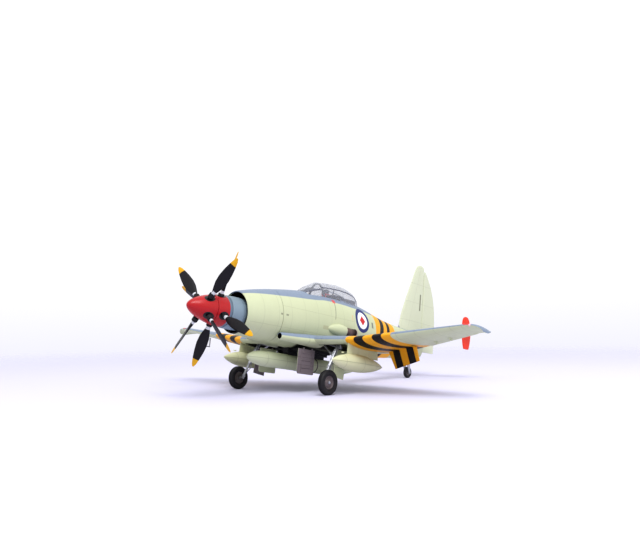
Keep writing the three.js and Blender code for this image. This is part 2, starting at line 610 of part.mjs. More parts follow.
function wingOuter() {
  const bays = [surfaceBay(flapEnds, flapFrame), surfaceBay(aileronEnds, aileronFrame)];
  pair('wing_outer', cut(wingOuterSolid(0), ...bays), SKY);
  const flap = surfaceSolid(flapEnds, flapFrame);
  pair('flap', turnedAbout(flap, flapEnds[0].hinge, flapFrame.axis, -FLAP.drop), SKY);
  pair('aileron', surfaceSolid(aileronEnds, aileronFrame), SKY);
}

// A short duct on each side of the nose that grows into the wing's leading edge.
function rootIntakes() {
  const { frontY, rearY, x, z, radius, bore, boreDepth } = ROOT_INTAKE;
  const growth = [[0, 1, 1], [0.04, 1.15, 1.15], [0.4, 1.8, 1.45], [0.75, 3, 1.8], [1, 3.6, 1.9]];
  const sides = 16;
  const rings = growth.map(([t, wide, tall]) => Array.from({ length: sides }, (_, i) => {
    const angle = (i / sides) * 2 * Math.PI;
    const middle = x + (wide - 1) * radius * 0.75;
    return at(middle + wide * radius * Math.cos(angle), THREE.MathUtils.lerp(frontY, rearY, t),
      z + tall * radius * Math.sin(angle));
  }));
  const mouth = strut(at(x + GAP, frontY - OVERRUN, z), at(x + GAP, frontY + boreDepth, z), bore, 14);
  pair('root_intake', cut(loft(rings), mouth, clearance, wingClearance), SKY);
}

// ---------------------------------------------------------------- tail
const FIN_TRAIL_Y = TAIL_END_Y - FIN.trailGap;

// The fin's outline: heights as shares of the fin's height, with its leading and trailing
// edges as shares of its root chord.
const FIN_FORM = [
  [0, 0, 1], [0.12, 0.02, 1], [0.34, 0.13, 1], [0.59, 0.33, 1], [0.78, 0.5, 1], [0.91, 0.61, 1], [0.97, 0.68, 1],
  [1, 0.8, 0.9],
];
// The rudder's chord as a share of its greatest, by share of its height.
const RUDDER_FORM = [[0, 1], [0.4, 0.96], [0.555, 0.885], [0.694, 0.75], [0.827, 0.53], [0.936, 0.25], [1, 0.06]];

function fin() {
  const chord = FIN_TRAIL_Y - FIN.lead;
  const rings = FIN_FORM.map(([rise, sweep, end]) => {
    const z = THREE.MathUtils.lerp(FIN.rootZ, FIN.topZ, rise);
    const half = THREE.MathUtils.lerp(FIN.rootThickness, FIN.topThickness, rise) / 2;
    const [lead, trail] = [FIN.lead + sweep * chord, FIN.lead + end * chord];
    const outline = [[0, 0], [0.04, 0.45], [0.2, 0.85], [0.5, 1], [1, 0.9]];
    const edge = (side) => outline.map(([s, w]) => at(side * w * half, THREE.MathUtils.lerp(lead, trail, s), z));
    return [...edge(1), ...edge(-1).slice(1).reverse()];
  });
  part('fin', cut(loft(rings), clearance, tailplaneSolid(GAP), mirrored(tailplaneSolid(GAP))), SKY);

  const ends = RUDDER_FORM.map(([rise, share]) => ({
    hinge: at(0, TAIL_END_Y, THREE.MathUtils.lerp(RUDDER.bottomZ, RUDDER.topZ, rise)),
    nose: THREE.MathUtils.lerp(FIN.rootThickness, FIN.topThickness, rise) * 0.45,
    trail: share * RUDDER.chord,
  }));
  const rudder = surfaceSolid(ends, hingeFrame(ends, STARBOARD));
  const tailCone = fuselageSolid(COWL_REAR_Y, TAIL_END_Y + RUDDER.footGap, OVERRUN, 10);
  part('rudder', cut(rudder, tailCone), SKY);
}

const tailRise = Math.tan(radians(TAILPLANE.dihedral));

function tailStation(x) {
  const t = x / TAILPLANE.tipX;
  return {
    x,
    lead: THREE.MathUtils.lerp(TAILPLANE.rootLead, TAILPLANE.tipLead, t),
    chord: THREE.MathUtils.lerp(TAILPLANE.rootChord, TAILPLANE.tipChord, t),
    thickness: THREE.MathUtils.lerp(TAILPLANE.rootThickness, TAILPLANE.tipThickness, t),
    z: TAILPLANE.rootZ + x * tailRise,
  };
}

function tailplaneSolid(grow) {
  const tipRound = 5;
  const end = tailStation(TAILPLANE.tipX - tipRound);
  const shoulder = tailStation(TAILPLANE.tipX - tipRound * 0.35);
  const tip = tailStation(TAILPLANE.tipX);
  const trimmed = (station, share) => ({
    ...station,
    lead: station.lead + station.chord * share,
    chord: station.chord * (1 - 2 * share),
  });
  const stations = [tailStation(0), end, trimmed(shoulder, 0.08), trimmed(tip, 0.3)];
  return loft(stations.map((station) => wingRing(station, grow)));
}

function finletCorners(grow) {
  const { lead, chord, bottomZ, topZ } = FINLET;
  const middle = (bottomZ + topZ) / 2;
  return [
    [lead + chord * 0.3 - grow, bottomZ - grow], [lead + chord * 0.85 + grow, bottomZ - grow],
    [lead + chord + grow, middle], [lead + chord * 0.8 + grow, topZ - 4], [lead + chord * 0.66 + grow, topZ - 1.2],
    [lead + chord * 0.5, topZ + grow], [lead + chord * 0.28, topZ + grow], [lead + chord * 0.1 - grow, topZ - 1.2],
    [lead - grow, topZ - 4], [lead - grow, middle],
  ];
}

function tailplane() {
  const bayEnds = [ELEVATOR.innerX, ELEVATOR.outerX].map((x) => {
    const station = tailStation(x);
    const share = (TAILPLANE.hingeY - station.lead) / station.chord;
    return {
      hinge: at(x, TAILPLANE.hingeY, station.z),
      nose: (fullness(share) * station.thickness) / 2,
      trail: station.lead + station.chord - TAILPLANE.hingeY,
    };
  });
  const rootEnd = { ...bayEnds[0], hinge: at(-OVERRUN, TAILPLANE.hingeY, tailStation(0).z) };
  const slot = plate(finletCorners(GAP), FINLET.x, FINLET.thickness + 2 * GAP);
  const frame = hingeFrame(bayEnds, UP);
  const bay = surfaceBay([rootEnd, bayEnds[1]], frame);
  pair('tailplane', cut(tailplaneSolid(0), bay, slot, clearance, box(-1, GAP / 2, 0, 2 * TAIL_END_Y, 0, 40)), SKY);
  pair('elevator', surfaceSolid(bayEnds, frame), SKY);
  pair('finlet', plate(finletCorners(0), FINLET.x, FINLET.thickness), FINLET_RED);
}

// ---------------------------------------------------------------- undercarriage
// A wheel's axle lies along X. Its sides are turned so that one flat faces the ground.
function wheelSolid(profile, sides, stance) {
  const onAxle = turned(profile, sides).rotate([0, 0, -90]);
  return onAxle.rotate([180 / sides + stance, 0, 0]);
}

const tyreProfile = (radius, width, seat) => {
  const half = width / 2;
  const section = [
    [seat, -half * 0.65], [radius * 0.82, -half], [radius, -half * 0.5],
    [radius, half * 0.5], [radius * 0.82, half], [seat, half * 0.65],
  ];
  return [...section, section[0]];
};

// The pitch that brings the main and tail tyres' lowest flats level.
function stanceAngle() {
  const flat = ({ radius, sides }) => radius * Math.cos(Math.PI / sides);
  const [aft, drop] = [TAIL_WHEEL.y - MAIN_WHEEL.y, MAIN_WHEEL.z - TAIL_WHEEL.z];
  const fromSizes = Math.asin((flat(MAIN_WHEEL) - flat(TAIL_WHEEL)) / Math.hypot(aft, drop));
  return THREE.MathUtils.radToDeg(fromSizes - Math.atan2(drop, aft));
}

const STANCE = stanceAngle();

function mainGear() {
  const { x, y, z, radius, width, hubRadius, sides } = MAIN_WHEEL;
  const tyre = wheelSolid(tyreProfile(radius, width, hubRadius), sides, STANCE);
  pair('main_tyre', moved(tyre, x, y, z), RUBBER);

  const rim = hubRadius - GAP;
  const [inner, outer] = [-width * 0.3, width * 0.3];
  const bore = MAIN_LEG.axleRadius + GAP;
  const hub = [
    [bore, inner], [rim, inner], [rim, outer], [rim * 0.7, outer - 0.7], [bore, outer - 0.3], [bore, inner],
  ];
  pair('main_hub', moved(turned(hub, 18).rotate([0, 0, -90]), x, y, z), HUB_GREY);

  const foot = at(MAIN_LEG.x, y, z);
  const head = at(MAIN_LEG.x, MAIN_LEG.topY, WELL.roofZ - GAP);
  const knee = foot.clone().lerp(head, 0.45);
  const onLeg = (share, aft) => {
    const point = foot.clone().lerp(head, share);
    return [point.y + aft, point.z];
  };
  const torqueLink = plate([onLeg(0.1, 0), onLeg(0.3, 2.6), onLeg(0.5, 0)], MAIN_LEG.x, 0.8);
  const leg = joined(
    strut(foot, knee, MAIN_LEG.footRadius), strut(knee, head, MAIN_LEG.radius),
    strut(foot.clone().add(at(-MAIN_LEG.footRadius / 2, 0, 0)), at(x + outer - 0.6, y, z), MAIN_LEG.axleRadius),
    torqueLink,
    strut(foot.clone().lerp(head, 0.62), at(WELL.innerX + 3, MAIN_LEG.topY, WELL.roofZ - 1), 0.6),
  );
  const aboveRoof = box(0, HALF_SPAN, 0, TAIL_END_Y, WELL.roofZ - GAP, HALF_SPAN);
  pair('main_leg', cut(leg, aboveRoof), SILVER);

  const legBack = (doorZ) => THREE.MathUtils.mapLinear(doorZ, foot.z, head.z, foot.y, head.y)
    + MAIN_LEG.radius + LEG_DOOR.gap;
  const doorFoot = LEG_DOOR.topZ - LEG_DOOR.height;
  const waistZ = LEG_DOOR.topZ - LEG_DOOR.height * 0.42;
  const legDoor = plate([
    [legBack(LEG_DOOR.topZ), LEG_DOOR.topZ], [legBack(LEG_DOOR.topZ) + LEG_DOOR.width, LEG_DOOR.topZ],
    [legBack(LEG_DOOR.topZ) + LEG_DOOR.width - 2, doorFoot], [legBack(waistZ) + 1, doorFoot + 1.5],
    [legBack(waistZ) + 1.8, waistZ - 1.2], [legBack(waistZ), waistZ],
  ], MAIN_LEG.x, LEG_DOOR.thickness);
  pair('leg_door', legDoor, SKY);

  const { frontY, length, topZ, height, thickness } = GEAR_DOOR;
  const door = plate([
    [frontY, topZ], [frontY + length, topZ], [frontY + length, topZ - height], [frontY + 1, topZ - height],
    [frontY, topZ - height + 1],
  ], GEAR_DOOR.x, thickness);
  pair('gear_door', door, DOOR_GREY);
}

function tailGear() {
  const { y, z, radius, width, sides } = TAIL_WHEEL;
  const bore = TAIL_FORK.axleRadius + GAP;
  const half = width / 2;
  const profile = [
    [bore, -half * 0.7], [radius * 0.55, -half * 0.7], [radius * 0.8, -half], [radius, -half * 0.45],
    [radius, half * 0.45], [radius * 0.8, half], [radius * 0.55, half * 0.7], [bore, half * 0.7],
    [bore, -half * 0.7],
  ];
  part('tail_wheel', moved(wheelSolid(profile, sides, STANCE), 0, y, z), RUBBER);

  const armX = half + GAP + TAIL_FORK.armThickness / 2;
  const corners = [[TAIL_FORK.y - 1.2, TAIL_FORK.crownZ], [TAIL_FORK.y + 1.6, TAIL_FORK.crownZ], [y + 1.1, z], [y - 1, z - 1]];
  const arms = [armX, -armX].map((x) => plate(corners, x, TAIL_FORK.armThickness));
  const crownHalf = armX + TAIL_FORK.armThickness / 2;
  const crown = box(-crownHalf, crownHalf, TAIL_FORK.y - 1.2, TAIL_FORK.y + 1.6, TAIL_FORK.crownZ - 1, TAIL_FORK.crownZ + 1);
  const stem = strut(at(0, TAIL_FORK.y, TAIL_FORK.crownZ), at(0, TAIL_FORK.y, TAIL_FORK.stemTopZ), TAIL_FORK.stemRadius);
  const axle = strut(at(-crownHalf, y, z), at(crownHalf, y, z), TAIL_FORK.axleRadius);
  part('tail_fork', joined(crown, stem, axle, ...arms), SILVER);
}

// ---------------------------------------------------------------- stores
// A streamlined body along Y: its radius at a share of its length.
function storeProfile(frontY, rearY, radius, noseShare, tailShare, bluntness) {
  const shape = (s) => {
    if (s < noseShare) return (1 - (1 - s / noseShare) ** 2) ** bluntness;
    if (s > 1 - tailShare) return (1 - ((s - 1 + tailShare) / tailShare) ** 2) ** 0.8;
    return 1;
  };
  const shares = [0.12, 0.4, 0.7, 1].map((s) => s * noseShare)
    .concat([1, 0.7, 0.4, 0.12].map((s) => 1 - s * tailShare));
  const points = shares.map((s) => [Math.max(radius * shape(s), 0.3), THREE.MathUtils.lerp(frontY, rearY, s)]);
  return [[0, frontY], ...points, [0, rearY]];
}

function stores() {
  const store = moved(turned(storeProfile(STORE.frontY, STORE.rearY, STORE.radius, 0.16, 0.36, 0.5), 16), 0, 0, STORE.z);
  part('belly_store', store, STORE_GREEN);
  const half = CRUTCH.width / 2;
  const crutch = box(-half, half, CRUTCH.frontY, CRUTCH.frontY + CRUTCH.length, STORE.z, 0);
  const room = moved(turned(storeProfile(STORE.frontY, STORE.rearY, STORE.radius + GAP, 0.16, 0.36, 0.5), 16), 0, 0, STORE.z);
  part('store_crutch', cut(crutch, clearance, room), SKY);

  const tankProfile = (grow) => storeProfile(TANK.frontY - grow, TANK.rearY + grow, TANK.radius + grow, 0.42, 0.56, 0.75);
  pair('drop_tank', moved(turned(tankProfile(0), 16), TANK.x, 0, TANK.z), STORE_GREEN);
  const pylon = plate([
    [PYLON.frontY, 0], [PYLON.frontY + PYLON.topLength, 0], [PYLON.frontY + PYLON.bottomLength, TANK.z],
    [PYLON.frontY - 1, TANK.z],
  ], TANK.x, PYLON.width);
  const tankRoom = moved(turned(tankProfile(GAP), 16), TANK.x, 0, TANK.z);
  const below = box(0, HALF_SPAN, 0, TAIL_END_Y, -HALF_SPAN, WING.rootZ);
  pair('pylon', cut(pylon.intersect(below), wingClearance, tankRoom), SKY);
}

function pitot() {
  const station = outerStation(-PITOT.x);
  const chordZ = station.z - (PITOT.y - station.lead) * WING_SLOPE;
  const foot = at(PITOT.x, PITOT.y, chordZ - station.thickness / 2 - GAP - PITOT.radius);
  const elbow = foot.clone().add(at(0, 0, -PITOT.stem));
  const head = elbow.clone().add(at(0, -PITOT.reach, 0));
  part('pitot_probe', joined(strut(foot, elbow, PITOT.radius, 8), strut(elbow, head, PITOT.radius, 8)), SILVER);
}

// ---------------------------------------------------------------- build
noseCowl();
intakeCone();
spinners();
blades();
fuselage();
exhausts();
canopy();
cockpit();
wingCentre();
wingOuter();
rootIntakes();
fin();
tailplane();
mainGear();
tailGear();
stores();
pitot();

// Stand the aircraft on its tyres and centre its length.
aircraft.rotation.x = -radians(STANCE);
object.updateMatrixWorld(true);
const reach = new THREE.Box3().setFromObject(object, true);
aircraft.position.set(0, -(reach.min.y + reach.max.y) / 2, -reach.min.z);

export default object;
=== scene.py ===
# Looks for a 1/48 turboprop strike aircraft model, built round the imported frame.
import json
import math
import bpy
import numpy as np
from mathutils import Matrix, Vector


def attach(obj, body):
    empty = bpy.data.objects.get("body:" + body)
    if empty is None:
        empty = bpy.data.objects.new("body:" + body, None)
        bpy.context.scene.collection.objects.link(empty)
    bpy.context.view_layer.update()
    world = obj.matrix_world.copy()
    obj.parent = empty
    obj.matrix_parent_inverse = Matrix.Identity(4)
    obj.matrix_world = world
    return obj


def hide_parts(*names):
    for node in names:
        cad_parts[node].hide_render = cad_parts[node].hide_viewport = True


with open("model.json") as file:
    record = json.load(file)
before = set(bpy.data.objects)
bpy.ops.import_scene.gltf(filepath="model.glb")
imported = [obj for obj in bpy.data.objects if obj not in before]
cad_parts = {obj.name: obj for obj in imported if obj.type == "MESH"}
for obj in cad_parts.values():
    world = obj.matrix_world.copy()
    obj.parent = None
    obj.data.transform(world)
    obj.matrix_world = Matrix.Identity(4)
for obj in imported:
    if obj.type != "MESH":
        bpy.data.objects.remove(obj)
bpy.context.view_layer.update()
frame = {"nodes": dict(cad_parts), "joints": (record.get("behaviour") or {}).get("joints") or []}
nodes = frame["nodes"]

# ---------------------------------------------------------------- the aircraft's own frame
# Millimetres: X to the port tip, Y aft from the spinner's tip, Z up from the thrust line.
JOINTS = {j["name"]: j for j in frame["joints"]}
THRUST = JOINTS["front_prop_spin"]
STANCE = math.atan2(-THRUST["axis"][2], THRUST["axis"][1])
MM = 0.001
PROP_Y = {"front": 12.5, "rear": 21.8}
FIRST_BLADE = {"front": 46.5, "rear": 65.5}
TO_ROW = (Matrix.Translation(THRUST["pos_m"]) @ Matrix.Rotation(-STANCE, 4, "X")
          @ Matrix.Scale(MM, 4) @ Matrix.Translation((0, -PROP_Y["front"], 0)))
ROW = np.array(TO_ROW)


def row(points):
    return np.asarray(points, float) @ ROW[:3, :3].T + ROW[:3, 3]


# ---------------------------------------------------------------- node writing
class Look:
    """A Principled material whose patterns are placed in the aircraft's millimetres."""

    def __init__(self, name, home=False, roughness=0.5, metallic=0.0, specular=0.32):
        self.material = bpy.data.materials.new(name)
        self.material.use_nodes = True
        self.tree = self.material.node_tree
        self.shader = self.tree.nodes["Principled BSDF"]
        self.shader.inputs["Roughness"].default_value = roughness
        self.shader.inputs["Metallic"].default_value = metallic
        self.shader.inputs["Specular IOR Level"].default_value = specular
        if home:
            source = self.tree.nodes.new("ShaderNodeAttribute")
            source.attribute_name = "home"
            self.place = source.outputs["Vector"]
        else:
            source = self.tree.nodes.new("ShaderNodeTexCoord")
            mapping = self.tree.nodes.new("ShaderNodeMapping")
            mapping.vector_type = "TEXTURE"
            mapping.inputs["Location"].default_value = TO_ROW.translation
            mapping.inputs["Rotation"].default_value = (-STANCE, 0, 0)
            mapping.inputs["Scale"].default_value = (MM, MM, MM)
            self.tree.links.new(source.outputs["Object"], mapping.inputs["Vector"])
            self.place = mapping.outputs["Vector"]
        split = self.tree.nodes.new("ShaderNodeSeparateXYZ")
        self.tree.links.new(self.place, split.inputs[0])
        self.x, self.y, self.z = split.outputs

    def feed(self, socket, value):
        if isinstance(value, bpy.types.NodeSocket):
            self.tree.links.new(value, socket)
        else:
            socket.default_value = value

    def math(self, operation, a, b=0.0):
        node = self.tree.nodes.new("ShaderNodeMath")
        node.operation = operation
        self.feed(node.inputs[0], a)
        self.feed(node.inputs[1], b)
        return node.outputs[0]

    def add(self, a, b):
        return self.math("ADD", a, b)

    def sub(self, a, b):
        return self.math("SUBTRACT", a, b)

    def mul(self, a, b):
        return self.math("MULTIPLY", a, b)

    def most(self, *masks):
        total = masks[0]
        for mask in masks[1:]:
            total = self.math("MAXIMUM", total, mask)
        return total

    def both(self, *masks):
        total = masks[0]
        for mask in masks[1:]:
            total = self.mul(total, mask)
        return total

    def size(self, a):
        return self.math("ABSOLUTE", a)

    def above(self, value, edge, soft=0.08):
        node = self.tree.nodes.new("ShaderNodeMapRange")
        node.interpolation_type = "SMOOTHSTEP"
        self.feed(node.inputs["Value"], value)
        node.inputs["From Min"].default_value = edge - soft
        node.inputs["From Max"].default_value = edge + soft
        return node.outputs["Result"]

    def below(self, value, edge, soft=0.08):
        return self.sub(1.0, self.above(value, edge, soft))

    def band(self, value, low, high, soft=0.08):
        return self.sub(self.above(value, low, soft), self.above(value, high, soft))

    def lines(self, value, places, width=0.14):
        return self.most(*[self.band(value, at - width, at + width, 0.09) for at in places])

    def noise(self, scale, detail=3.0, stretch=(1, 1, 1)):
        shrink = self.tree.nodes.new("ShaderNodeVectorMath")
        shrink.operation = "MULTIPLY"
        self.feed(shrink.inputs[0], self.place)
        shrink.inputs[1].default_value = stretch
        node = self.tree.nodes.new("ShaderNodeTexNoise")
        self.tree.links.new(shrink.outputs[0], node.inputs["Vector"])
        node.inputs["Scale"].default_value = scale
        node.inputs["Detail"].default_value = detail
        return node.outputs["Fac"]

    def curve(self, value, points, span, height):
        node = self.tree.nodes.new("ShaderNodeFloatCurve")
        line = node.mapping.curves[0]
        line.points[0].location = (points[0][0] / span, points[0][1] / height)
        line.points[1].location = (points[-1][0] / span, points[-1][1] / height)
        for a, b in points[1:-1]:
            line.points.new(a / span, b / height)
        node.mapping.update()
        self.feed(node.inputs["Value"], self.mul(value, 1 / span))
        return self.mul(node.outputs[0], height)

    def mix(self, share, a, b):
        node = self.tree.nodes.new("ShaderNodeMix")
        node.data_type = "RGBA"
        self.feed(node.inputs[0], share)
        self.feed(node.inputs[6], a)
        self.feed(node.inputs[7], b)
        return node.outputs[2]

    def shade(self, colour, amount):
        """Colour times a number."""
        node = self.tree.nodes.new("ShaderNodeMix")
        node.data_type = "RGBA"
        node.blend_type = "MULTIPLY"
        node.inputs[0].default_value = 1.0
        self.feed(node.inputs[6], colour)
        grey = self.tree.nodes.new("ShaderNodeCombineColor")
        for socket in grey.inputs:
            self.feed(socket, amount)
        self.tree.links.new(grey.outputs[0], node.inputs[7])
        return node.outputs[2]

    def colour(self, value):
        self.feed(self.shader.inputs["Base Color"], value)

    def roughness(self, value):
        self.feed(self.shader.inputs["Roughness"], value)

    def bump(self, height, millimetres, onto=None):
        node = self.tree.nodes.new("ShaderNodeBump")
        node.inputs["Distance"].default_value = millimetres * MM
        self.feed(node.inputs["Height"], height)
        if onto is not None:
            self.tree.links.new(onto, node.inputs["Normal"])
        self.tree.links.new(node.outputs[0], self.shader.inputs["Normal"])
        return node.outputs[0]


def srgb(red, green, blue):
    def linear(v):
        v /= 255
        return v / 12.92 if v <= 0.04045 else ((v + 0.055) / 1.055) ** 2.4
    return (linear(red), linear(green), linear(blue), 1.0)


SKY = srgb(188, 194, 161)
DECK = srgb(124, 137, 156)
YELLOW = srgb(226, 160, 26)
BLACK = srgb(14, 9, 10)

# ---------------------------------------------------------------- paint
def paint_finish(look, colour, lines, relief=0.06, grain=0.012):
    """Thin panel lines, slightly uneven paint, faint streaks and a fine bump."""
    cloud = look.noise(0.035, 4.0)
    streak = look.noise(0.22, 3.0, (1, 1, 0.18))
    tone = look.add(0.93, look.add(look.mul(cloud, 0.09), look.mul(streak, 0.05)))
    tone = look.mul(tone, look.sub(1.0, look.mul(lines, 0.3)))
    look.colour(look.shade(colour, tone))
    look.roughness(look.add(0.36, look.mul(look.noise(0.6, 4.0), 0.24)))
    fine = look.bump(look.noise(2.6, 4.0), grain)
    look.bump(look.sub(1.0, lines), relief, fine)


def fuselage_paint():
    p = Look("fuselage_paint")
    x, y, z = p.x, p.y, p.z
    wide = p.size(x)
    edge = p.curve(y, [(36, 12.6), (50, 14.8), (75, 16.9), (96, 18.6), (115, 20.6), (128, 20.6), (150, 19.9),
                       (170, 18.8), (200, 16.6), (250, 13.2)], 250, 40)
    wander = p.mul(p.sub(p.noise(0.12), 0.5), 0.5)
    deck = p.above(p.add(p.sub(z, edge), wander), 0.0, 0.14)
    colour = p.mix(deck, SKY, DECK)
    bands = p.band(y, 170.3, 200, 0.15)
    slant = p.sub(y, p.mul(p.sub(z, 9), 0.25))
    black = p.most(p.band(slant, 176.8, 182.2, 0.15), p.band(slant, 187.3, 191.6, 0.15))
    colour = p.mix(bands, colour, YELLOW)
    colour = p.mix(black, colour, BLACK)
    # a plain target: blue ring, white disc, red diamond
    dy, dz = p.sub(y, 151.8), p.sub(z, 12.0)
    radius = p.math("SQRT", p.add(p.mul(dy, dy), p.mul(dz, dz)))
    side = p.above(wide, 3)
    colour = p.mix(p.both(p.below(radius, 8.9), side), colour, srgb(34, 46, 104))
    colour = p.mix(p.both(p.below(radius, 6.2), side), colour, srgb(232, 233, 236))
    diamond = p.below(p.add(p.size(dy), p.size(dz)), 3.6, 0.12)
    colour = p.mix(p.both(diamond, side), colour, srgb(188, 30, 34))
    port = p.above(x, 0)
    # small stencils: a red patch and its lead, a faint door, a slim orange tick, a dark vent, two dashes
    for tint, share, ys, zs, only_port in (
            (srgb(205, 60, 58), 0.85, (118.8, 122.2), (20.0, 22.4), True),
            (srgb(140, 120, 80), 0.28, (105, 110.5), (-0.3, 2.3), False),
            (srgb(225, 130, 50), 0.5, (138.7, 139.3), (10.4, 14.4), True),
            (srgb(84, 84, 90), 0.75, (164.3, 166.5), (8.2, 12.6), False),
            (srgb(92, 96, 84), 0.6, (63.8, 65.6), (3.3, 4.5), False),
            (srgb(92, 96, 84), 0.6, (68.6, 70.8), (3.3, 4.5), False)):
        spot = p.both(p.band(y, *ys), p.band(z, *zs))
        colour = p.mix(p.mul(p.both(spot, port) if only_port else spot, share), colour, tint)
    lead = p.both(p.below(p.size(p.sub(y, p.add(116.6, p.mul(z, 0.2)))), 0.26), p.band(z, 8, 20), port)
    colour = p.mix(p.mul(lead, 0.8), colour, srgb(70, 70, 60))
    soot = p.both(p.band(y, 132, 170, 12), p.band(z, -2.5, 3.5, 2.5), p.above(wide, 9, 1))
    colour = p.mix(p.mul(soot, 0.16), colour, srgb(80, 70, 60))
    shell = p.above(wide, 7.9, 0.2)
    rings = p.lines(y, [50, 62.5, 74, 87, 100, 114, 128.5, 141, 163, 205, 222, 238])
    along = p.most(p.both(p.lines(z, [9.6]), p.band(y, 66, 141)),
                   p.both(p.lines(z, [-4.4]), p.band(y, 40, 128.5)))
    lines = p.most(p.mul(rings, 0.55), p.mul(p.both(along, shell), 0.5), p.lines(y, [66.15], 0.22))
    # painted shade: the inside of the cowl lip is painted near black for the dark of the intake mouth
    inward = p.below(p.math("SQRT", p.add(p.mul(x, x), p.mul(z, z))), 12.55, 0.08)
    cowl_mouth_shade = p.both(p.below(y, 39.4, 0.05), inward)
    colour = p.mix(cowl_mouth_shade, colour, srgb(8, 8, 10))
    # painted shade: the belly between the wheel wells is painted near black
    belly_shade = p.both(p.band(y, 88, 121, 1.0), p.below(z, -12.2, 0.8))
    colour = p.mix(p.mul(belly_shade, 0.9), colour, srgb(34, 34, 26))
    well = p.both(p.below(wide, 7.42, 0.03), p.band(y, 95.9, 133.1, 0.05), p.band(z, 6, 24.2, 0.05))
    colour = p.mix(well, colour, srgb(50, 52, 56))
    paint_finish(p, colour, lines)
    return p.material


def wing_place(p):
    """Distance from the centre plane, share of the chord, and height over the chord plane."""
    wide = p.size(p.x)
    inner, outer = p.math("MINIMUM", wide, 54.6), p.math("MAXIMUM", p.sub(wide, 54.6), 0.0)
    lead = p.add(86, p.add(p.mul(inner, 0.0586), p.mul(outer, 0.1366)))
    chord = p.sub(65, p.add(p.mul(inner, 0.2106), p.mul(outer, 0.4327)))
    back = p.sub(p.y, lead)
    tip = p.mul(p.math("MAXIMUM", p.sub(wide, 125), 0.0), 1 / 12)
    droop = p.mul(p.sub(1.0, p.math("SQRT", p.math("MAXIMUM", p.sub(1.0, p.mul(tip, tip)), 0.0))), 4.5)
    chord_z = p.sub(p.add(-9.6, p.add(p.mul(inner, 0.0037), p.mul(outer, 0.1317))), p.mul(back, 0.0524))
    return wide, p.math("DIVIDE", back, chord), p.add(p.sub(p.z, chord_z), droop)


def wing_paint(name, home=False):
    p = Look(name, home)
    wide, share, height = wing_place(p)
    colour = p.mix(p.above(height, -0.1, 0.12), SKY, DECK)
    start = p.add(48.9, p.mul(p.math("MINIMUM", p.math("MAXIMUM", p.sub(p.y, 90), 0.0), 38.0), 0.137))
    end = p.add(80.3, p.mul(p.sub(start, 48.9), 0.5))
    step = p.mul(p.math("DIVIDE", p.sub(wide, start), p.sub(end, start)), 5)
    zone = p.band(step, 0, 5, 0.02)
    black = p.above(p.math("MODULO", p.math("MAXIMUM", step, 0.0), 2.0), 1.0, 0.02)
    bands = p.mix(black, YELLOW, BLACK)
    colour = p.mix(zone, colour, bands)
    well = p.both(p.band(wide, 18.8, 45.2, 0.05), p.band(p.y, 92.8, 116.2, 0.05), p.below(p.z, -9.0, 0.05))
    colour = p.mix(well, colour, srgb(44, 45, 30))
    # painted shade: the underside round the wheel wells and under the fuselage is painted near black
    underside_shade = p.both(p.below(wide, 46.5, 0.3), p.band(p.y, 92, 119, 0.6), p.below(height, 0, 0.3))
    colour = p.mix(p.mul(underside_shade, 0.92), colour, srgb(36, 36, 26))
    lamp = p.both(p.band(wide, 126.2, 130.6), p.below(p.y, 110.5), p.above(height, 0.1))
    colour = p.mix(lamp, colour, srgb(200, 40, 36))
    slot = p.both(p.band(wide, 78.6, 80), p.band(p.y, 118, 126.5), p.below(height, 0))
    colour = p.mix(slot, colour, srgb(30, 22, 26))
    ribs = p.lines(wide, [17.5, 30, 47, 54.75, 66, 84, 96, 108, 118, 125])
    spars = p.lines(p.mul(share, 50), [7, 17, 30])
    paint_finish(p, colour, p.mul(p.most(ribs, spars), 0.75))
    return p.material


def tail_paint(name):
    p = Look(name)
    wide = p.size(p.x)
    height = p.sub(p.z, p.add(10.4, p.mul(wide, 0.1495)))
    colour = p.mix(p.above(height, 0.0, 0.1), SKY, DECK)
    lines = p.most(p.lines(wide, [16, 26, 36, 49]), p.lines(p.y, [239.5]))
    paint_finish(p, colour, p.mul(lines, 0.7))
    return p.material


def fin_paint():
    p = Look("fin_paint")
    fillet = p.below(p.add(p.sub(p.z, 17), p.mul(p.sub(p.y, 217), 1.6)), 0.0, 0.4)
    colour = p.mix(fillet, srgb(199, 204, 178), srgb(140, 142, 158))
    bar = p.both(p.band(p.y, 243.4, 245.0), p.band(p.z, 34, 48))
    colour = p.mix(p.mul(bar, 0.85), colour, srgb(88, 90, 70))
    lines = p.most(p.lines(p.z, [24, 40, 56]), p.lines(p.sub(p.y, p.mul(p.z, 0.28)), [223]))
    paint_finish(p, colour, p.mul(lines, 0.6))
    return p.material


def plain_paint(name, colour, rings=(), seam=None, roughness=None, dark=None):
    p = Look(name)
    lines = p.lines(p.y, list(rings) or [-99])
    if seam is not None:
        lines = p.most(lines, p.lines(p.z, [seam], 0.16))
    shown = colour
    if dark is not None:
        shown = p.mix(p.above(p.noise(0.2, 5.0), 0.56, 0.12), colour, dark)
    paint_finish(p, shown, lines)
    if roughness is not None:
        p.roughness(roughness)
    return p.material


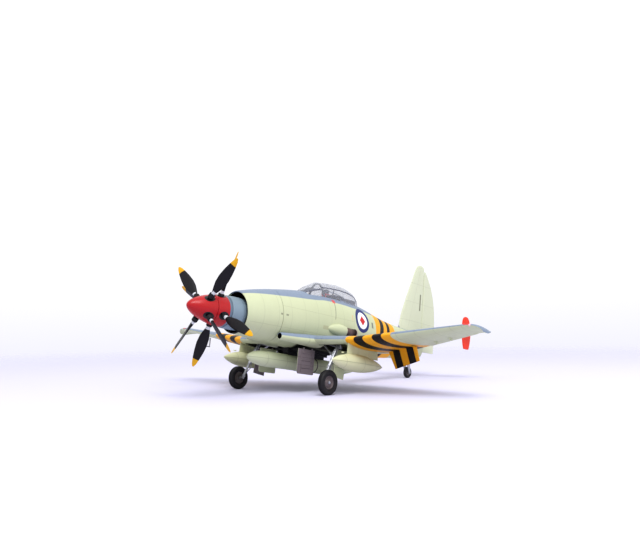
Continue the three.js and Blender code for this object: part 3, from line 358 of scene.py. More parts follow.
def spinner_paint(name, row_y, phase):
    p = Look(name, roughness=0.3)
    turn = p.sub(p.math("ARCTAN2", p.z, p.x), math.radians(phase))
    fold = p.math("PINGPONG", turn, math.pi / 4)
    radius = p.math("SQRT", p.add(p.mul(p.x, p.x), p.mul(p.z, p.z)))
    off = p.mul(radius, fold)
    dy = p.mul(p.sub(p.y, row_y), 0.8)
    gap = p.math("SQRT", p.add(p.mul(off, off), p.mul(dy, dy)))
    # painted shade: a black ellipse round each blade root stands for the dark opening in the spinner
    colour = p.mix(p.below(gap, 2.7, 0.1), srgb(168, 10, 20), srgb(10, 8, 12))
    colour = p.mix(p.above(p.y, 25.4, 0.06), colour, srgb(96, 112, 128))
    colour = p.shade(colour, p.add(0.9, p.mul(p.noise(0.12), 0.18)))
    p.colour(colour)
    p.roughness(p.add(0.26, p.mul(p.noise(0.9, 4.0), 0.2)))
    p.bump(p.noise(3.0, 3.0), 0.008)
    p.shader.inputs["Coat Weight"].default_value = 0.25
    p.shader.inputs["Coat Roughness"].default_value = 0.2
    return p.material


def blade_paint():
    p = Look("blade_paint")
    radius = p.math("SQRT", p.add(p.mul(p.x, p.x), p.mul(p.z, p.z)))
    colour = p.mix(p.above(radius, 33.4, 0.15), srgb(9, 8, 16), srgb(206, 156, 26))
    label = p.both(p.band(radius, 10.9, 13.0, 0.15), p.above(p.noise(0.35, 1.0), 0.44, 0.03))
    colour = p.mix(label, colour, srgb(205, 208, 212))
    p.colour(p.shade(colour, p.add(0.86, p.mul(p.noise(0.3), 0.28))))
    p.roughness(p.add(0.3, p.mul(p.noise(0.8, 4.0), 0.25)))
    p.bump(p.noise(2.5, 4.0), 0.01)
    return p.material


def rubber():
    p = Look("tyre_rubber", specular=0.45)
    worn = p.noise(0.5, 5.0)
    p.colour(p.mix(worn, srgb(9, 8, 11), srgb(27, 24, 30)))
    p.roughness(p.add(0.5, p.mul(worn, 0.25)))
    p.bump(p.noise(4.0, 4.0), 0.03)
    return p.material


def metal(name, bright, dull, roughness, metallic=0.85):
    p = Look(name, metallic=metallic)
    p.colour(p.mix(p.noise(0.5, 5.0, (1, 0.35, 1)), bright, dull))
    p.roughness(p.add(roughness, p.mul(p.noise(1.2, 4.0), 0.22)))
    p.bump(p.noise(3.5, 4.0), 0.01)
    return p.material


def door_paint(name, x_skin, inside, outside):
    """One face of a door is its painted skin, the other its bare lining."""
    p = Look(name)
    skin = p.above(p.size(p.x), x_skin, 0.02)
    paint_finish(p, p.mix(skin, inside, outside), p.lines(p.z, [-22, -27]))
    return p.material


def exhaust_metal():
    p = Look("exhaust_metal", metallic=0.75)
    # the pipe is darker towards its rear end
    aft_dark = p.above(p.y, 133.5, 3)
    colour = p.mix(aft_dark, srgb(128, 108, 104), srgb(26, 20, 22))
    colour = p.mix(p.mul(p.noise(0.7, 5.0), 0.6), colour, srgb(60, 48, 44))
    p.colour(p.mix(p.lines(p.y, [137.6], 0.5), colour, srgb(176, 158, 150)))
    p.roughness(p.add(0.34, p.mul(p.noise(1.0), 0.3)))
    p.bump(p.noise(3.0, 4.0), 0.02)
    return p.material


def clear_plastic():
    p = Look("canopy_clear", roughness=0.04, specular=0.7)
    facing = p.tree.nodes.new("ShaderNodeLayerWeight")
    facing.inputs["Blend"].default_value = 0.3
    p.colour(srgb(176, 180, 190))
    p.feed(p.shader.inputs["Alpha"], p.add(0.12, p.mul(facing.outputs["Facing"], 0.42)))
    p.bump(p.noise(0.4, 2.0), 0.01)
    return p.material


def cockpit_paint(name, colour, worn):
    p = Look(name)
    p.colour(p.mix(p.noise(0.7, 5.0), colour, worn))
    p.roughness(p.add(0.5, p.mul(p.noise(1.1), 0.3)))
    p.bump(p.noise(2.4, 4.0), 0.03)
    return p.material


def webbing():
    p = Look("harness_web", roughness=0.8)
    weave = p.math("SINE", p.mul(p.add(p.y, p.z), 9.0))
    p.colour(p.mix(p.add(0.5, p.mul(weave, 0.25)), srgb(178, 38, 44), srgb(214, 76, 78)))
    p.bump(weave, 0.05)
    return p.material


def dial_face():
    p = Look("dial_panel")
    cell = p.math("PINGPONG", p.add(p.x, 10), 1.3)
    tall = p.math("PINGPONG", p.z, 1.3)
    spot = p.math("SQRT", p.add(p.mul(p.sub(cell, 0.65), p.sub(cell, 0.65)), p.mul(p.sub(tall, 0.65),
                                                                                   p.sub(tall, 0.65))))
    colour = p.mix(p.band(spot, 0.42, 0.52, 0.04), srgb(30, 30, 32), srgb(170, 172, 170))
    p.colour(colour)
    p.bump(p.below(spot, 0.5, 0.05), 0.06)
    return p.material


FUSELAGE = fuselage_paint()
WING = wing_paint("wing_paint")
WING_MOVING = wing_paint("wing_surface_paint", home=True)
TAIL = tail_paint("tail_paint")
FIN_SKY = fin_paint()
SKY_PLAIN = plain_paint("sky_paint", SKY)
PYLON_SKY = plain_paint("pylon_paint", srgb(186, 188, 152), rings=[100, 112])
STORE = plain_paint("store_paint", srgb(186, 192, 162), rings=[66, 84, 100, 118, 132, 146], seam=-25.0)
TANKS = plain_paint("tank_paint", srgb(196, 197, 162), rings=[86, 103, 118], seam=-23.7)
FINLET_RED = plain_paint("finlet_paint", srgb(228, 58, 30), roughness=0.36)
CONE = plain_paint("cone_paint", srgb(124, 141, 153), rings=[36.5])
FRAME_GREY = plain_paint("canopy_frame", srgb(104, 106, 118))
SPINNER_FRONT = spinner_paint("spinner_front_paint", PROP_Y["front"], FIRST_BLADE["front"])
SPINNER_REAR = spinner_paint("spinner_rear_paint", PROP_Y["rear"], FIRST_BLADE["rear"])
BLADE = blade_paint()
RUBBER = rubber()
HUB = metal("hub_alloy", srgb(132, 122, 122), srgb(78, 70, 72), 0.35, 0.5)
SILVER = metal("leg_silver", srgb(196, 198, 204), srgb(140, 142, 150), 0.28)
STEEL = metal("bare_steel", srgb(120, 116, 112), srgb(76, 70, 68), 0.35)
EXHAUST = exhaust_metal()
CLEAR = clear_plastic()
TUB = cockpit_paint("cockpit_tub_paint", srgb(56, 58, 62), srgb(84, 86, 90))
SEAT = cockpit_paint("seat_paint", srgb(26, 24, 26), srgb(50, 46, 48))
WEB = webbing()
DIALS = dial_face()
# near black: the blade collars' own colour, and painted shade on the intake duct, the exhaust bores and the
# dark belly parts
BLACK_AND_SHADE = cockpit_paint("black_and_painted_shade", srgb(16, 15, 18), srgb(34, 32, 36))
OLIVE = cockpit_paint("well_olive", srgb(74, 76, 50), srgb(104, 104, 72))
INNER_DOOR = door_paint("inner_door_paint", 17.7, SKY, srgb(122, 112, 116))
LEG_DOOR = door_paint("leg_door_paint", 37.0, srgb(122, 112, 116), SKY)


def shade_smooth(mesh, sharp):
    mesh.polygons.foreach_set("use_smooth", [True] * len(mesh.polygons))
    mesh.set_sharp_from_angle(angle=math.radians(sharp))


def piece(name, body, material, shape, stands_for=(), home=None, sharp=38):
    points, faces = shape
    mesh = bpy.data.meshes.new(name)
    mesh.from_pydata(row(points).tolist(), [], faces)
    mesh.update()
    if home is not None:
        mesh.attributes.new("home", "FLOAT_VECTOR", "POINT").data.foreach_set(
            "vector", np.asarray(home, np.float32).ravel())
    shade_smooth(mesh, sharp)
    made = bpy.data.objects.new(name, mesh)
    bpy.context.scene.collection.objects.link(made)
    mesh.materials.append(material)
    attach(made, body)
    if stands_for:
        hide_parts(*stands_for)
    return made


def carve(made, shapes, sharp=38):
    """Cut shapes out of a piece, and keep the result as its mesh."""
    tools = []
    for points, faces in shapes:
        mesh = bpy.data.meshes.new("tool")
        mesh.from_pydata(row(points).tolist(), [], faces)
        tool = bpy.data.objects.new("tool", mesh)
        bpy.context.scene.collection.objects.link(tool)
        tools.append(tool)
        cut = made.modifiers.new("cut", "BOOLEAN")
        cut.operation, cut.solver, cut.object = "DIFFERENCE", "EXACT", tool
    graph = bpy.context.evaluated_depsgraph_get()
    mesh = bpy.data.meshes.new_from_object(made.evaluated_get(graph))
    made.modifiers.clear()
    made.data = mesh
    for tool in tools:
        bpy.data.objects.remove(tool)
    shade_smooth(mesh, sharp)
    return made


def skin(rings, loop=False):
    """A closed skin over rings of equally many points; loop joins the last ring to the first."""
    count = len(rings[0])
    points = np.concatenate([np.asarray(ring, float) for ring in rings])
    faces = []
    last = len(rings) if loop else len(rings) - 1
    for r in range(last):
        a, b = r * count, ((r + 1) % len(rings)) * count
        faces += [(a + i, a + (i + 1) % count, b + (i + 1) % count, b + i) for i in range(count)]
    if not loop:
        faces.append(tuple(reversed(range(count))))
        faces.append(tuple(range((len(rings) - 1) * count, len(rings) * count)))
    return points, faces


def merged(*shapes):
    points, faces, start = [], [], 0
    for p, f in shapes:
        points.append(np.asarray(p, float))
        faces += [tuple(start + i for i in face) for face in f]
        start += len(p)
    return np.concatenate(points), faces


def circle(radius, count):
    turn = np.linspace(0, 2 * math.pi, count, endpoint=False)
    return radius * np.cos(turn), radius * np.sin(turn)


def lathe(profile, count=64, centre=(0, 0, 0), along="Y", loop=False):
    """Rings about a line from (radius, place) pairs; loop for a ring's own section."""
    rings = []
    for radius, at in profile:
        a, b = circle(max(radius, 0.004), count)
        if along == "Y":
            ring = np.stack([a, np.full(count, at), b], 1)
        elif along == "X":
            ring = np.stack([np.full(count, at), b, a], 1)
        else:
            ring = np.stack([b, a, np.full(count, at)], 1)
        rings.append(ring + np.array(centre, float))
    return skin(rings, loop)


def rod(start, end, radius, end_radius=None, count=24):
    start, end = np.array(start, float), np.array(end, float)
    line = end - start
    length = np.linalg.norm(line)
    line /= length
    side = np.cross(line, (0, 0, 1) if abs(line[2]) < 0.9 else (1, 0, 0))
    side /= np.linalg.norm(side)
    up = np.cross(line, side)
    end_radius = radius if end_radius is None else end_radius
    chamfer = min(radius, end_radius, length / 4) * 0.15
    rings = []
    for at, r in ((0, radius - chamfer), (chamfer, radius), (length - chamfer, end_radius),
                  (length, end_radius - chamfer)):
        a, b = circle(r, count)
        rings.append(start + line * at + np.outer(a, side) + np.outer(b, up))
    return skin(rings)


def block(low, high, chamfer=0.2):
    """A box with chamfered upright and lying edges."""
    (x0, y0, z0), (x1, y1, z1) = low, high
    rings = []
    for z, inset in ((z0, chamfer), (z0 + chamfer, 0), (z1 - chamfer, 0), (z1, chamfer)):
        c = chamfer
        xa, xb, ya, yb = x0 + inset, x1 - inset, y0 + inset, y1 - inset
        rings.append(np.array([(xa + c, ya, z), (xb - c, ya, z), (xb, ya + c, z), (xb, yb - c, z),
                               (xb - c, yb, z), (xa + c, yb, z), (xa, yb - c, z), (xa, ya + c, z)]))
    return skin(rings)


def plate(corners, x, thickness, chamfer=0.12, bulge=0.0):
    """A sheet in the YZ plane with chamfered edges, crowned towards +X by bulge."""
    outline = np.array(corners, float)
    middle = outline.mean(0)
    span = np.abs(outline - middle).max()
    rings = []
    for off, shrink in ((-thickness / 2, chamfer), (-thickness / 2 + chamfer, 0),
                        (thickness / 2 - chamfer, 0), (thickness / 2, chamfer)):
        flat = middle + (outline - middle) * (1 - shrink / span)
        rings.append(np.column_stack([np.full(len(flat), x + off), flat]))
    if bulge:
        for share in (0.7, 0.35, 0.05):
            flat = middle + (outline - middle) * share
            rings.append(np.column_stack([np.full(len(flat), x + thickness / 2 + bulge * (1 - share ** 2)),
                                          flat]))
    return skin(rings)


def smooth_outline(corners, steps=6):
    """A closed Catmull-Rom curve through corners."""
    p = np.array(corners, float)
    out = []
    for i in range(len(p)):
        a, b, c, d = p[i - 1], p[i], p[(i + 1) % len(p)], p[(i + 2) % len(p)]
        for t in np.linspace(0, 1, steps, endpoint=False):
            bend = (2 * a - 5 * b + 4 * c - d) * t ** 2 + (3 * b - a - 3 * c + d) * t ** 3
            out.append(0.5 * (2 * b + (c - a) * t + bend))
    return np.array(out)


def mirror(shape):
    points, faces = shape
    return np.asarray(points) * (-1, 1, 1), [tuple(reversed(face)) for face in faces]


def both_sides(name, body, material, shape, stands_for=(), home=None, sharp=38):
    made = []
    for side in ("left", "right"):
        form = shape if side == "left" else mirror(shape)
        place = home
        if home is not None and side == "right":
            place = np.asarray(home) * (-1, 1, 1)
        made.append(piece(f"{name}_{side}", body.replace("SIDE", side), material, form,
                          [n.replace("SIDE", side) for n in stands_for], place, sharp))
    return made


# ---------------------------------------------------------------- fuselage
SECTIONS = np.array([  # share of length, top, bottom, half width, height of the widest point
    (0, 14.6, -12.5, 12.8, 0.4), (0.03, 16.3, -12.9, 13.7, 0.6), (0.08, 18.7, -13.7, 14.6, 1.2),
    (0.14, 21.0, -14.6, 15.2, 1.8), (0.26, 24.6, -15.6, 15.8, 2.5), (0.41, 26.5, -15.6, 15.4, 2.9),
    (0.56, 24.3, -14.4, 13.5, 3.8), (0.71, 18.6, -11.7, 10.4, 4.2), (0.81, 16.6, -9.6, 8.3, 4.2),
    (1, 14.6, -4.8, 3.3, 4.2),
])
LIP_Y, JOIN_Y, TAIL_Y = 37.0, 66.0, 250.0


def section(y):
    place = (y - LIP_Y) / (TAIL_Y - LIP_Y)
    last = len(SECTIONS) - 1
    i = int(np.clip(np.searchsorted(SECTIONS[:, 0], place) - 1, 0, last - 1))

    def slope(k):
        a, b = SECTIONS[max(k - 1, 0)], SECTIONS[min(k + 1, last)]
        return (b[1:] - a[1:]) / (b[0] - a[0])
    span = SECTIONS[i + 1, 0] - SECTIONS[i, 0]
    t = float(np.clip((place - SECTIONS[i, 0]) / span, 0, 1))
    p0, p1, m0, m1 = SECTIONS[i, 1:], SECTIONS[i + 1, 1:], slope(i) * span, slope(i + 1) * span
    return ((2 * t ** 3 - 3 * t ** 2 + 1) * p0 + (t ** 3 - 2 * t ** 2 + t) * m0
            + (3 * t ** 2 - 2 * t ** 3) * p1 + (t ** 3 - t ** 2) * m1)


def hull_ring(y, grow=0.0, count=112):
    top, bottom, half, waist = section(y)
    turn = np.linspace(0, 2 * math.pi, count, endpoint=False)
    up = np.sin(turn)
    rise = np.where(up > 0, top - waist + grow, waist - bottom + grow)
    return np.stack([(half + grow) * np.cos(turn), np.full(count, y), waist + rise * up], 1)


def hull_shell(front, rear, wall, steps):
    places = np.linspace(front, rear, steps)
    rings = [hull_ring(front, -0.15)] + [hull_ring(y) for y in places[1:-1]] + [hull_ring(rear, -0.12)]
    rings += [hull_ring(y, -wall) for y in np.linspace(rear, front, steps // 2)]
    return skin(rings, loop=True)


EXHAUST_X, EXHAUST_Z, EXHAUST_Y = 15.4, 1.0, (119.0, 138.5)
SPLAY = math.radians(6)


def exhaust_place(points):
    """Points about the Y axis, moved to the port exhaust's line."""
    p = np.array(points, float)
    x = p[:, 0] * math.cos(SPLAY) + (p[:, 1] - EXHAUST_Y[0]) * math.sin(SPLAY)
    y = -p[:, 0] * math.sin(SPLAY) + (p[:, 1] - EXHAUST_Y[0]) * math.cos(SPLAY) + EXHAUST_Y[0]
    return np.stack([x + EXHAUST_X, y, p[:, 2] + EXHAUST_Z], 1)


def fuselage():
    hull = piece("fuselage_skin", "root", FUSELAGE, hull_shell(JOIN_Y + 0.3, TAIL_Y, 1.3, 100),
                 ["fuselage_left", "fuselage_right"])
    opening = block((-7.5, 95.7, 6.0), (7.5, 133.3, 40.0), 0.9)
    carve(hull, [opening])
    lip = [hull_ring(LIP_Y + 2.2, -0.95), hull_ring(LIP_Y + 0.7, -0.75), hull_ring(LIP_Y + 0.1, -0.45)]
    nose = [hull_ring(LIP_Y + 0.35, -0.12)] + [hull_ring(y) for y in np.linspace(LIP_Y + 1.2, JOIN_Y - 0.1,
                                                                                 30)]
    nose += [hull_ring(JOIN_Y, -0.12)] + [hull_ring(y, -1.2) for y in np.linspace(JOIN_Y, LIP_Y + 6, 8)]
    piece("cowl_skin", "root", FUSELAGE, skin(lip + nose, loop=True), ["nose_cowl"])
    duct = [hull_ring(LIP_Y + 1.6, -1.0), hull_ring(48, -1.35), hull_ring(59, -1.35), hull_ring(60.5, -4)]
    back = [hull_ring(60.2, -4), hull_ring(58.7, -1.6), hull_ring(48, -1.6), hull_ring(LIP_Y + 1.6, -1.25)]
    # painted shade: a near-black duct inside the cowl stands for the dark of the intake
    piece("intake_duct", "root", BLACK_AND_SHADE, skin(duct + back, loop=True))
    count = 48
    share = np.linspace(0.02, 0.98, 26)
    rings = []
    for s in share:
        # a teardrop fairing, fullest two thirds of the way aft, that ends at the pipe
        width = 3.9 * math.sin(math.pi * min(s / 1.32, 1)) ** 0.7
        a, b = circle(1.0, count)
        rings.append(np.stack([a * width, np.full(count, 109 + s * 19), b * width * 1.05], 1))
    fairing = skin([exhaust_place(ring) for ring in rings])
    both_sides("exhaust_fairing", "root", SKY_PLAIN, fairing)
    pipe = [(2.1, 122), (2.1, 138.1), (2.3, 138.5), (2.6, 138.4), (2.75, 138.0), (2.75, 137.2), (2.6, 136.6),
            (2.6, 131.4), (2.78, 131.0), (2.78, 130.4), (2.6, 130.0), (2.6, 122)]
    points, faces = lathe(pipe, 40, loop=True)
    both_sides("exhaust_pipe", "root", EXHAUST, (exhaust_place(points), faces), ["exhaust_SIDE"])
    # painted shade: a near-black disc shuts each pipe's bore
    points, faces = lathe([(0, 125), (2.2, 125), (2.2, 126), (0, 126)], 32)
    both_sides("exhaust_dark", "root", BLACK_AND_SHADE, (exhaust_place(points), faces))


def nose():
    outside = [(3.6, 27.5), (9.7, 27.5), (10.1, 27.7), (10.25, 28.1)]
    outside += [(10.25 + 0.25 * math.sin(math.pi / 2 * t), 28.1 + 9.9 * t) for t in np.linspace(0.1, 1, 12)]
    outside += [(10.5 - 2.9 * t ** 1.4, 38 + 22 * t) for t in np.linspace(0.1, 1, 12)]
    inside = [(6.2, 60), (9.7, 38), (8.9, 28.8), (3.6, 28.8)]
    piece("cone_skin", "root", CONE, lathe(outside + inside, 96, loop=True), ["intake_cone"])


BLADE_ROOT, BLADE_TIP = 4.2, 38.4


def spinner_radius(y):
    return 10 * (1 - max(1 - y / 27.2, 0) ** 1.7) ** 0.6


def spinners():
    split = 17.1
    front = [(0, 0)] + [(spinner_radius(y), y) for y in split * np.linspace(0.02, 0.985, 40) ** 1.5]
    front += [(spinner_radius(split) - 0.12, split - 0.15), (2.0, split - 0.15), (2.0, 12.7), (0, 12.7)]
    piece("spinner_nose", "front_prop", SPINNER_FRONT, lathe(front, 96), ["spinner_front"])
    rear = [(2.0, split + 0.15), (spinner_radius(split) - 0.12, split + 0.15)]
    rear += [(spinner_radius(y), y) for y in np.linspace(split + 0.3, 26.9, 24)]
    rear += [(spinner_radius(27.2) - 0.2, 27.2), (3.6, 27.2), (3.6, 23.7), (2.0, 23.7)]
    piece("spinner_tail", "rear_prop", SPINNER_REAR, lathe(rear, 96, loop=True), ["spinner_rear"])
    form = np.array([  # reach, chord, thickness
        (0, 2.4, 2.4), (0.2, 2.4, 2.4), (0.25, 3.1, 2.2), (0.31, 4.4, 1.9), (0.42, 6.3, 1.5),
        (0.55, 6.95, 1.2),
        (0.7, 6.1, 1.0), (0.84, 4.5, 0.8), (0.94, 2.9, 0.62), (0.985, 1.5, 0.45), (1, 0.7, 0.3)])
    turn = np.linspace(0, 2 * math.pi, 28, endpoint=False)
    for name, hand in (("front", -1), ("rear", 1)):
        phase = FIRST_BLADE[name]
        for blade in range(4):
            rings = []
            for reach in np.unique(np.concatenate([np.linspace(0, 0.94, 30), np.linspace(0.94, 1, 7)])):
                chord, thick = np.interp(reach, form[:, 0], form[:, 1]), np.interp(reach, form[:, 0],
                                                                                   form[:, 2])
                radius, pitch = BLADE_ROOT + (BLADE_TIP - BLADE_ROOT) * reach, math.radians(48 - 20 * reach)
                flat = float(np.clip((reach - 0.2) / 0.2, 0, 1))
                a = chord / 2 * np.cos(turn)
                c = thick / 2 * np.sin(turn) * (1 - 0.25 * flat * np.cos(turn))
                y = hand * math.sin(pitch) * a + math.cos(pitch) * c
                z = math.cos(pitch) * a - hand * math.sin(pitch) * c
                angle = math.radians(phase + 90 * blade)
                rings.append(np.stack([radius * math.cos(angle) - z * math.sin(angle), y + PROP_Y[name],
                                       radius * math.sin(angle) + z * math.cos(angle)], 1))
            piece(f"{name}_prop_blade_{blade + 1}", f"{name}_prop", BLADE, skin(rings),
                  [f"{name}_blade_{blade + 1}"])
            collar = [direction_ring(phase + 90 * blade, r, s, PROP_Y[name]) for s, r in
                      ((8.2, 1.9), (10.6, 1.9), (10.9, 1.75), (10.9, 1.3), (8.2, 1.3))]
            piece(f"{name}_blade_collar_{blade + 1}", f"{name}_prop", BLACK_AND_SHADE, skin(collar, loop=True))


def direction_ring(degrees, radius, reach, y, count=28):
    """A ring round a blade's axis, reach mm out from the thrust line."""
    angle = math.radians(degrees)
    a, b = circle(radius, count)
    return np.stack([reach * math.cos(angle) - a * math.sin(angle), y + b,
                     reach * math.sin(angle) + a * math.cos(angle)], 1)


# ---------------------------------------------------------------- wings
SLOPE = math.tan(math.radians(3))
FOLD_X, PANEL_X, TIP_X = 54.6, 125.0, 137.0
LAMP_X, PITOT_X = 130.0, 100.0
FLAP_SPAN, FLAP_HINGE, FLAP_DROP = (55.6, 77.5), 0.74, 66
AILERON_SPAN, AILERON_HINGE = (83.0, 122.0), 0.76


def wing_station(x):
    """Nose y, chord, nose z and thickness."""
    if x <= FOLD_X:
        t = x / FOLD_X
        return 86 + 3.2 * t, 65 - 11.5 * t, -9.6 + 0.2 * t, 9.4 - 1.6 * t
    rise = -9.4 + (x - FOLD_X) * math.tan(math.radians(7.5))
    if x <= PANEL_X:
        t = (x - FOLD_X) / (PANEL_X - FOLD_X)
        return 89.2 + 9.6 * t, 53.5 - 30.4 * t, rise, 7.8 - 4.9 * t
    left = math.sqrt(max(1 - ((x - PANEL_X) / (TIP_X - PANEL_X)) ** 2, 0))
    return 103 - 4.2 * left, 6 + 17.1 * left, rise - 4.5 * (1 - left), 1 + 1.9 * left


def fullness(s):
    return 9.9 * (0.2969 * np.sqrt(s) - 0.126 * s - 0.3516 * s ** 2 + 0.2843 * s ** 3 - 0.1036 * s ** 4)


def foil_ring(x, lead, chord, z, thickness, slope=0.0, count=26, edge=0.2, keep=1.0):
    s = (1 - np.cos(np.linspace(0, math.pi, count))) / 2 * keep
    half = np.maximum(fullness(s) * thickness / 2, np.where(s > 0.5, edge, 0))
    upper = np.stack([np.full(count, x), lead + s * chord, z - s * chord * slope + half], 1)
    lower = np.stack([np.full(count, x), lead + s * chord, z - s * chord * slope - half], 1)
    return np.concatenate([upper[::-1], lower[1:]])


def wing_ring(x):
    lead, chord, z, thickness = wing_station(abs(x))
    return foil_ring(x, lead, chord, z, thickness, SLOPE)


def hinge_end(x, share):
    lead, chord, z, thickness = wing_station(x)
    aft = share * chord
    return np.array([x, lead + aft, z - aft * SLOPE]), fullness(share) * thickness / 2, chord - aft


def hinge_frame(a, b, hint):
    axis = (b - a) / np.linalg.norm(b - a)
    aft = np.cross(hint, axis)
    aft /= np.linalg.norm(aft)
    return axis, aft, np.cross(axis, aft)


def surface(ends, hint, steps=14, trailing=0.2):
    """A hinged surface with a round nose: its points and faces."""
    _, aft, through = hinge_frame(ends[0][0], ends[-1][0], hint)
    shares = np.linspace(0, 1, steps)
    rings = []
    for t in shares:
        spots = np.linspace(0, 1, len(ends))
        hinge = np.array([np.interp(t, spots, [e[0][k] for e in ends]) for k in range(3)])
        nose_r = float(np.interp(t, spots, [e[1] for e in ends])) - (0.15 if t in (0, 1) else 0)
        trail = float(np.interp(t, spots, [e[2] for e in ends]))
        turn = np.radians(np.linspace(90, 270, 13))
        ring = [hinge + aft * nose_r * math.cos(a) + through * nose_r * math.sin(a) for a in turn]
        for s in (0.25, 0.5, 0.75, 1.0):
            half = nose_r + (trailing - nose_r) * s ** 1.1
            ring.append(hinge + aft * trail * s - through * half)
        for s in (1.0, 0.75, 0.5, 0.25):
            half = nose_r + (trailing - nose_r) * s ** 1.1
            ring.append(hinge + aft * trail * s + through * half)
        rings.append(np.array(ring))
    return skin(rings)


def bay(ends, hint):
    axis, aft, through = hinge_frame(ends[0][0], ends[-1][0], hint)
    rings = []
    for (hinge, nose_r, _), shift in ((ends[0], -0.3), (ends[-1], 0.3)):
        corners = [(-nose_r - 0.3, 40), (40, 40), (40, -40), (-nose_r - 0.3, -40)]
        rings.append(np.array([hinge + axis * shift + aft * a + through * b for a, b in corners]))
    return skin(rings)


def turned(points, centre, axis, degrees):
    spin = np.array(Matrix.Rotation(math.radians(degrees), 3, Vector(axis)))
    return (np.asarray(points) - centre) @ spin.T + centre


def wings():
    centre = skin([wing_ring(x) for x in np.linspace(-FOLD_X, FOLD_X, 37)])
    middle = piece("wing_centre_skin", "root", WING, centre, ["wing_centre"], sharp=30)
    well = block((19, 93, -40), (45, 116, -9.4), 0.4)
    carve(middle, [well, mirror(well)], 30)
    hint = np.array([0, math.sin(math.radians(3)), math.cos(math.radians(3))])
    flap_ends = [hinge_end(x, FLAP_HINGE) for x in FLAP_SPAN]
    aileron_ends = [hinge_end(x, AILERON_HINGE) for x in AILERON_SPAN]
    places = list(np.linspace(FOLD_X + 0.3, PANEL_X,
                              30)) + [PANEL_X + 12 * math.sin(a) for a in np.linspace(0.08, 1.5708, 16)]
    outer = skin([wing_ring(x) for x in places])
    bays = [bay(flap_ends, hint), bay(aileron_ends, hint)]
    for made, tools in zip(both_sides("wing_panel", "root", WING, outer, ["wing_outer_SIDE"], sharp=30),
                           (bays, [mirror(b) for b in bays])):
        carve(made, tools, 30)
    points, faces = surface(flap_ends, hint)
    axis = hinge_frame(flap_ends[0][0], flap_ends[1][0], hint)[0]
    dropped = turned(points, flap_ends[0][0], axis, -FLAP_DROP)
    both_sides("flap_skin", "flap_SIDE_body", WING_MOVING, (dropped, faces), ["flap_SIDE"], home=points,
               sharp=30)
    points, faces = surface(aileron_ends, hint, 20)
    both_sides("aileron_skin", "aileron_SIDE_body", WING_MOVING, (points, faces), ["aileron_SIDE"],
               home=points, sharp=30)
    brackets = []
    for x in (95.0, 106.5):
        spot, _, _ = hinge_end(x, AILERON_HINGE)
        brackets.append(plate([(spot[1] - 5, spot[2] - 0.4), (spot[1] + 0.5, spot[2] - 0.5),
                               (spot[1] + 1.5, spot[2] - 2.4),
                               (spot[1] - 1, spot[2] - 2.6)], x, 0.8))
    both_sides("aileron_bracket", "root", SKY_PLAIN, merged(*brackets))
    # wing tip lamps, let into the leading edge
    lead, _, z, _ = wing_station(LAMP_X)
    lamp = lathe([(0, lead - 0.4), (0.5, lead - 0.25), (0.8, lead + 0.4), (0.8, lead + 1.6),
                  (0, lead + 1.6)], 24,
                 (LAMP_X, 0, z))
    lens = {"left": Look("lamp_port", roughness=0.15), "right": Look("lamp_starboard", roughness=0.15)}
    for side, tint in (("left", srgb(214, 120, 128)), ("right", srgb(110, 180, 140))):
        look = lens[side]
        look.colour(look.mix(look.noise(0.9), tint, srgb(236, 220, 222)))
        piece(f"wing_lamp_{side}", "root", look.material, lamp if side == "left" else mirror(lamp))
    # ribs, a lever and pipes inside each wheel well
    inside = [block((x, 93.2, -10.6), (x + 0.7, 115.8, -9.3), 0.1) for x in (23, 28, 33.2, 40)]
    inside += [block((19.2, y, -11.2), (44.8, y + 0.8, -9.3), 0.1) for y in (97.5, 104, 110.5)]
    inside += [rod((20, 113, -11.4), (44, 113, -11.4), 0.5), rod((21, 95.4, -11.2), (44, 95.4, -11.2), 0.4)]
    both_sides("well_frames", "root", OLIVE, merged(*inside))
    # painted shade: near-black blocks and rods under the belly fill in the dark between wing, store and wells
    belly_shade_parts = [block((-2.6, 86, -20.4), (2.6, 124, -13.6), 0.5), block((-12, 90, -17.2), (12, 118, -14.2), 0.5)]
    belly_shade_parts += [rod((-11, y, -16.4), (11, y, -16.4), 0.9) for y in (88.6, 119.4)]
    belly_shade_parts += [block((s * 9 - 0.5, 88, -19.0), (s * 9 + 0.5, 119, -14.6), 0.2) for s in (-1, 1)]
    piece("belly_shade_frames", "root", BLACK_AND_SHADE, merged(*belly_shade_parts))
    link = [rod((22, 97, -10.6), (30, 108, -13), 0.5), rod((30, 108, -13), (37, 99, -12), 0.5),
            rod((29.2, 108, -13), (30.8, 108, -13), 0.9)]
    both_sides("well_link", "root", SILVER, merged(*link))


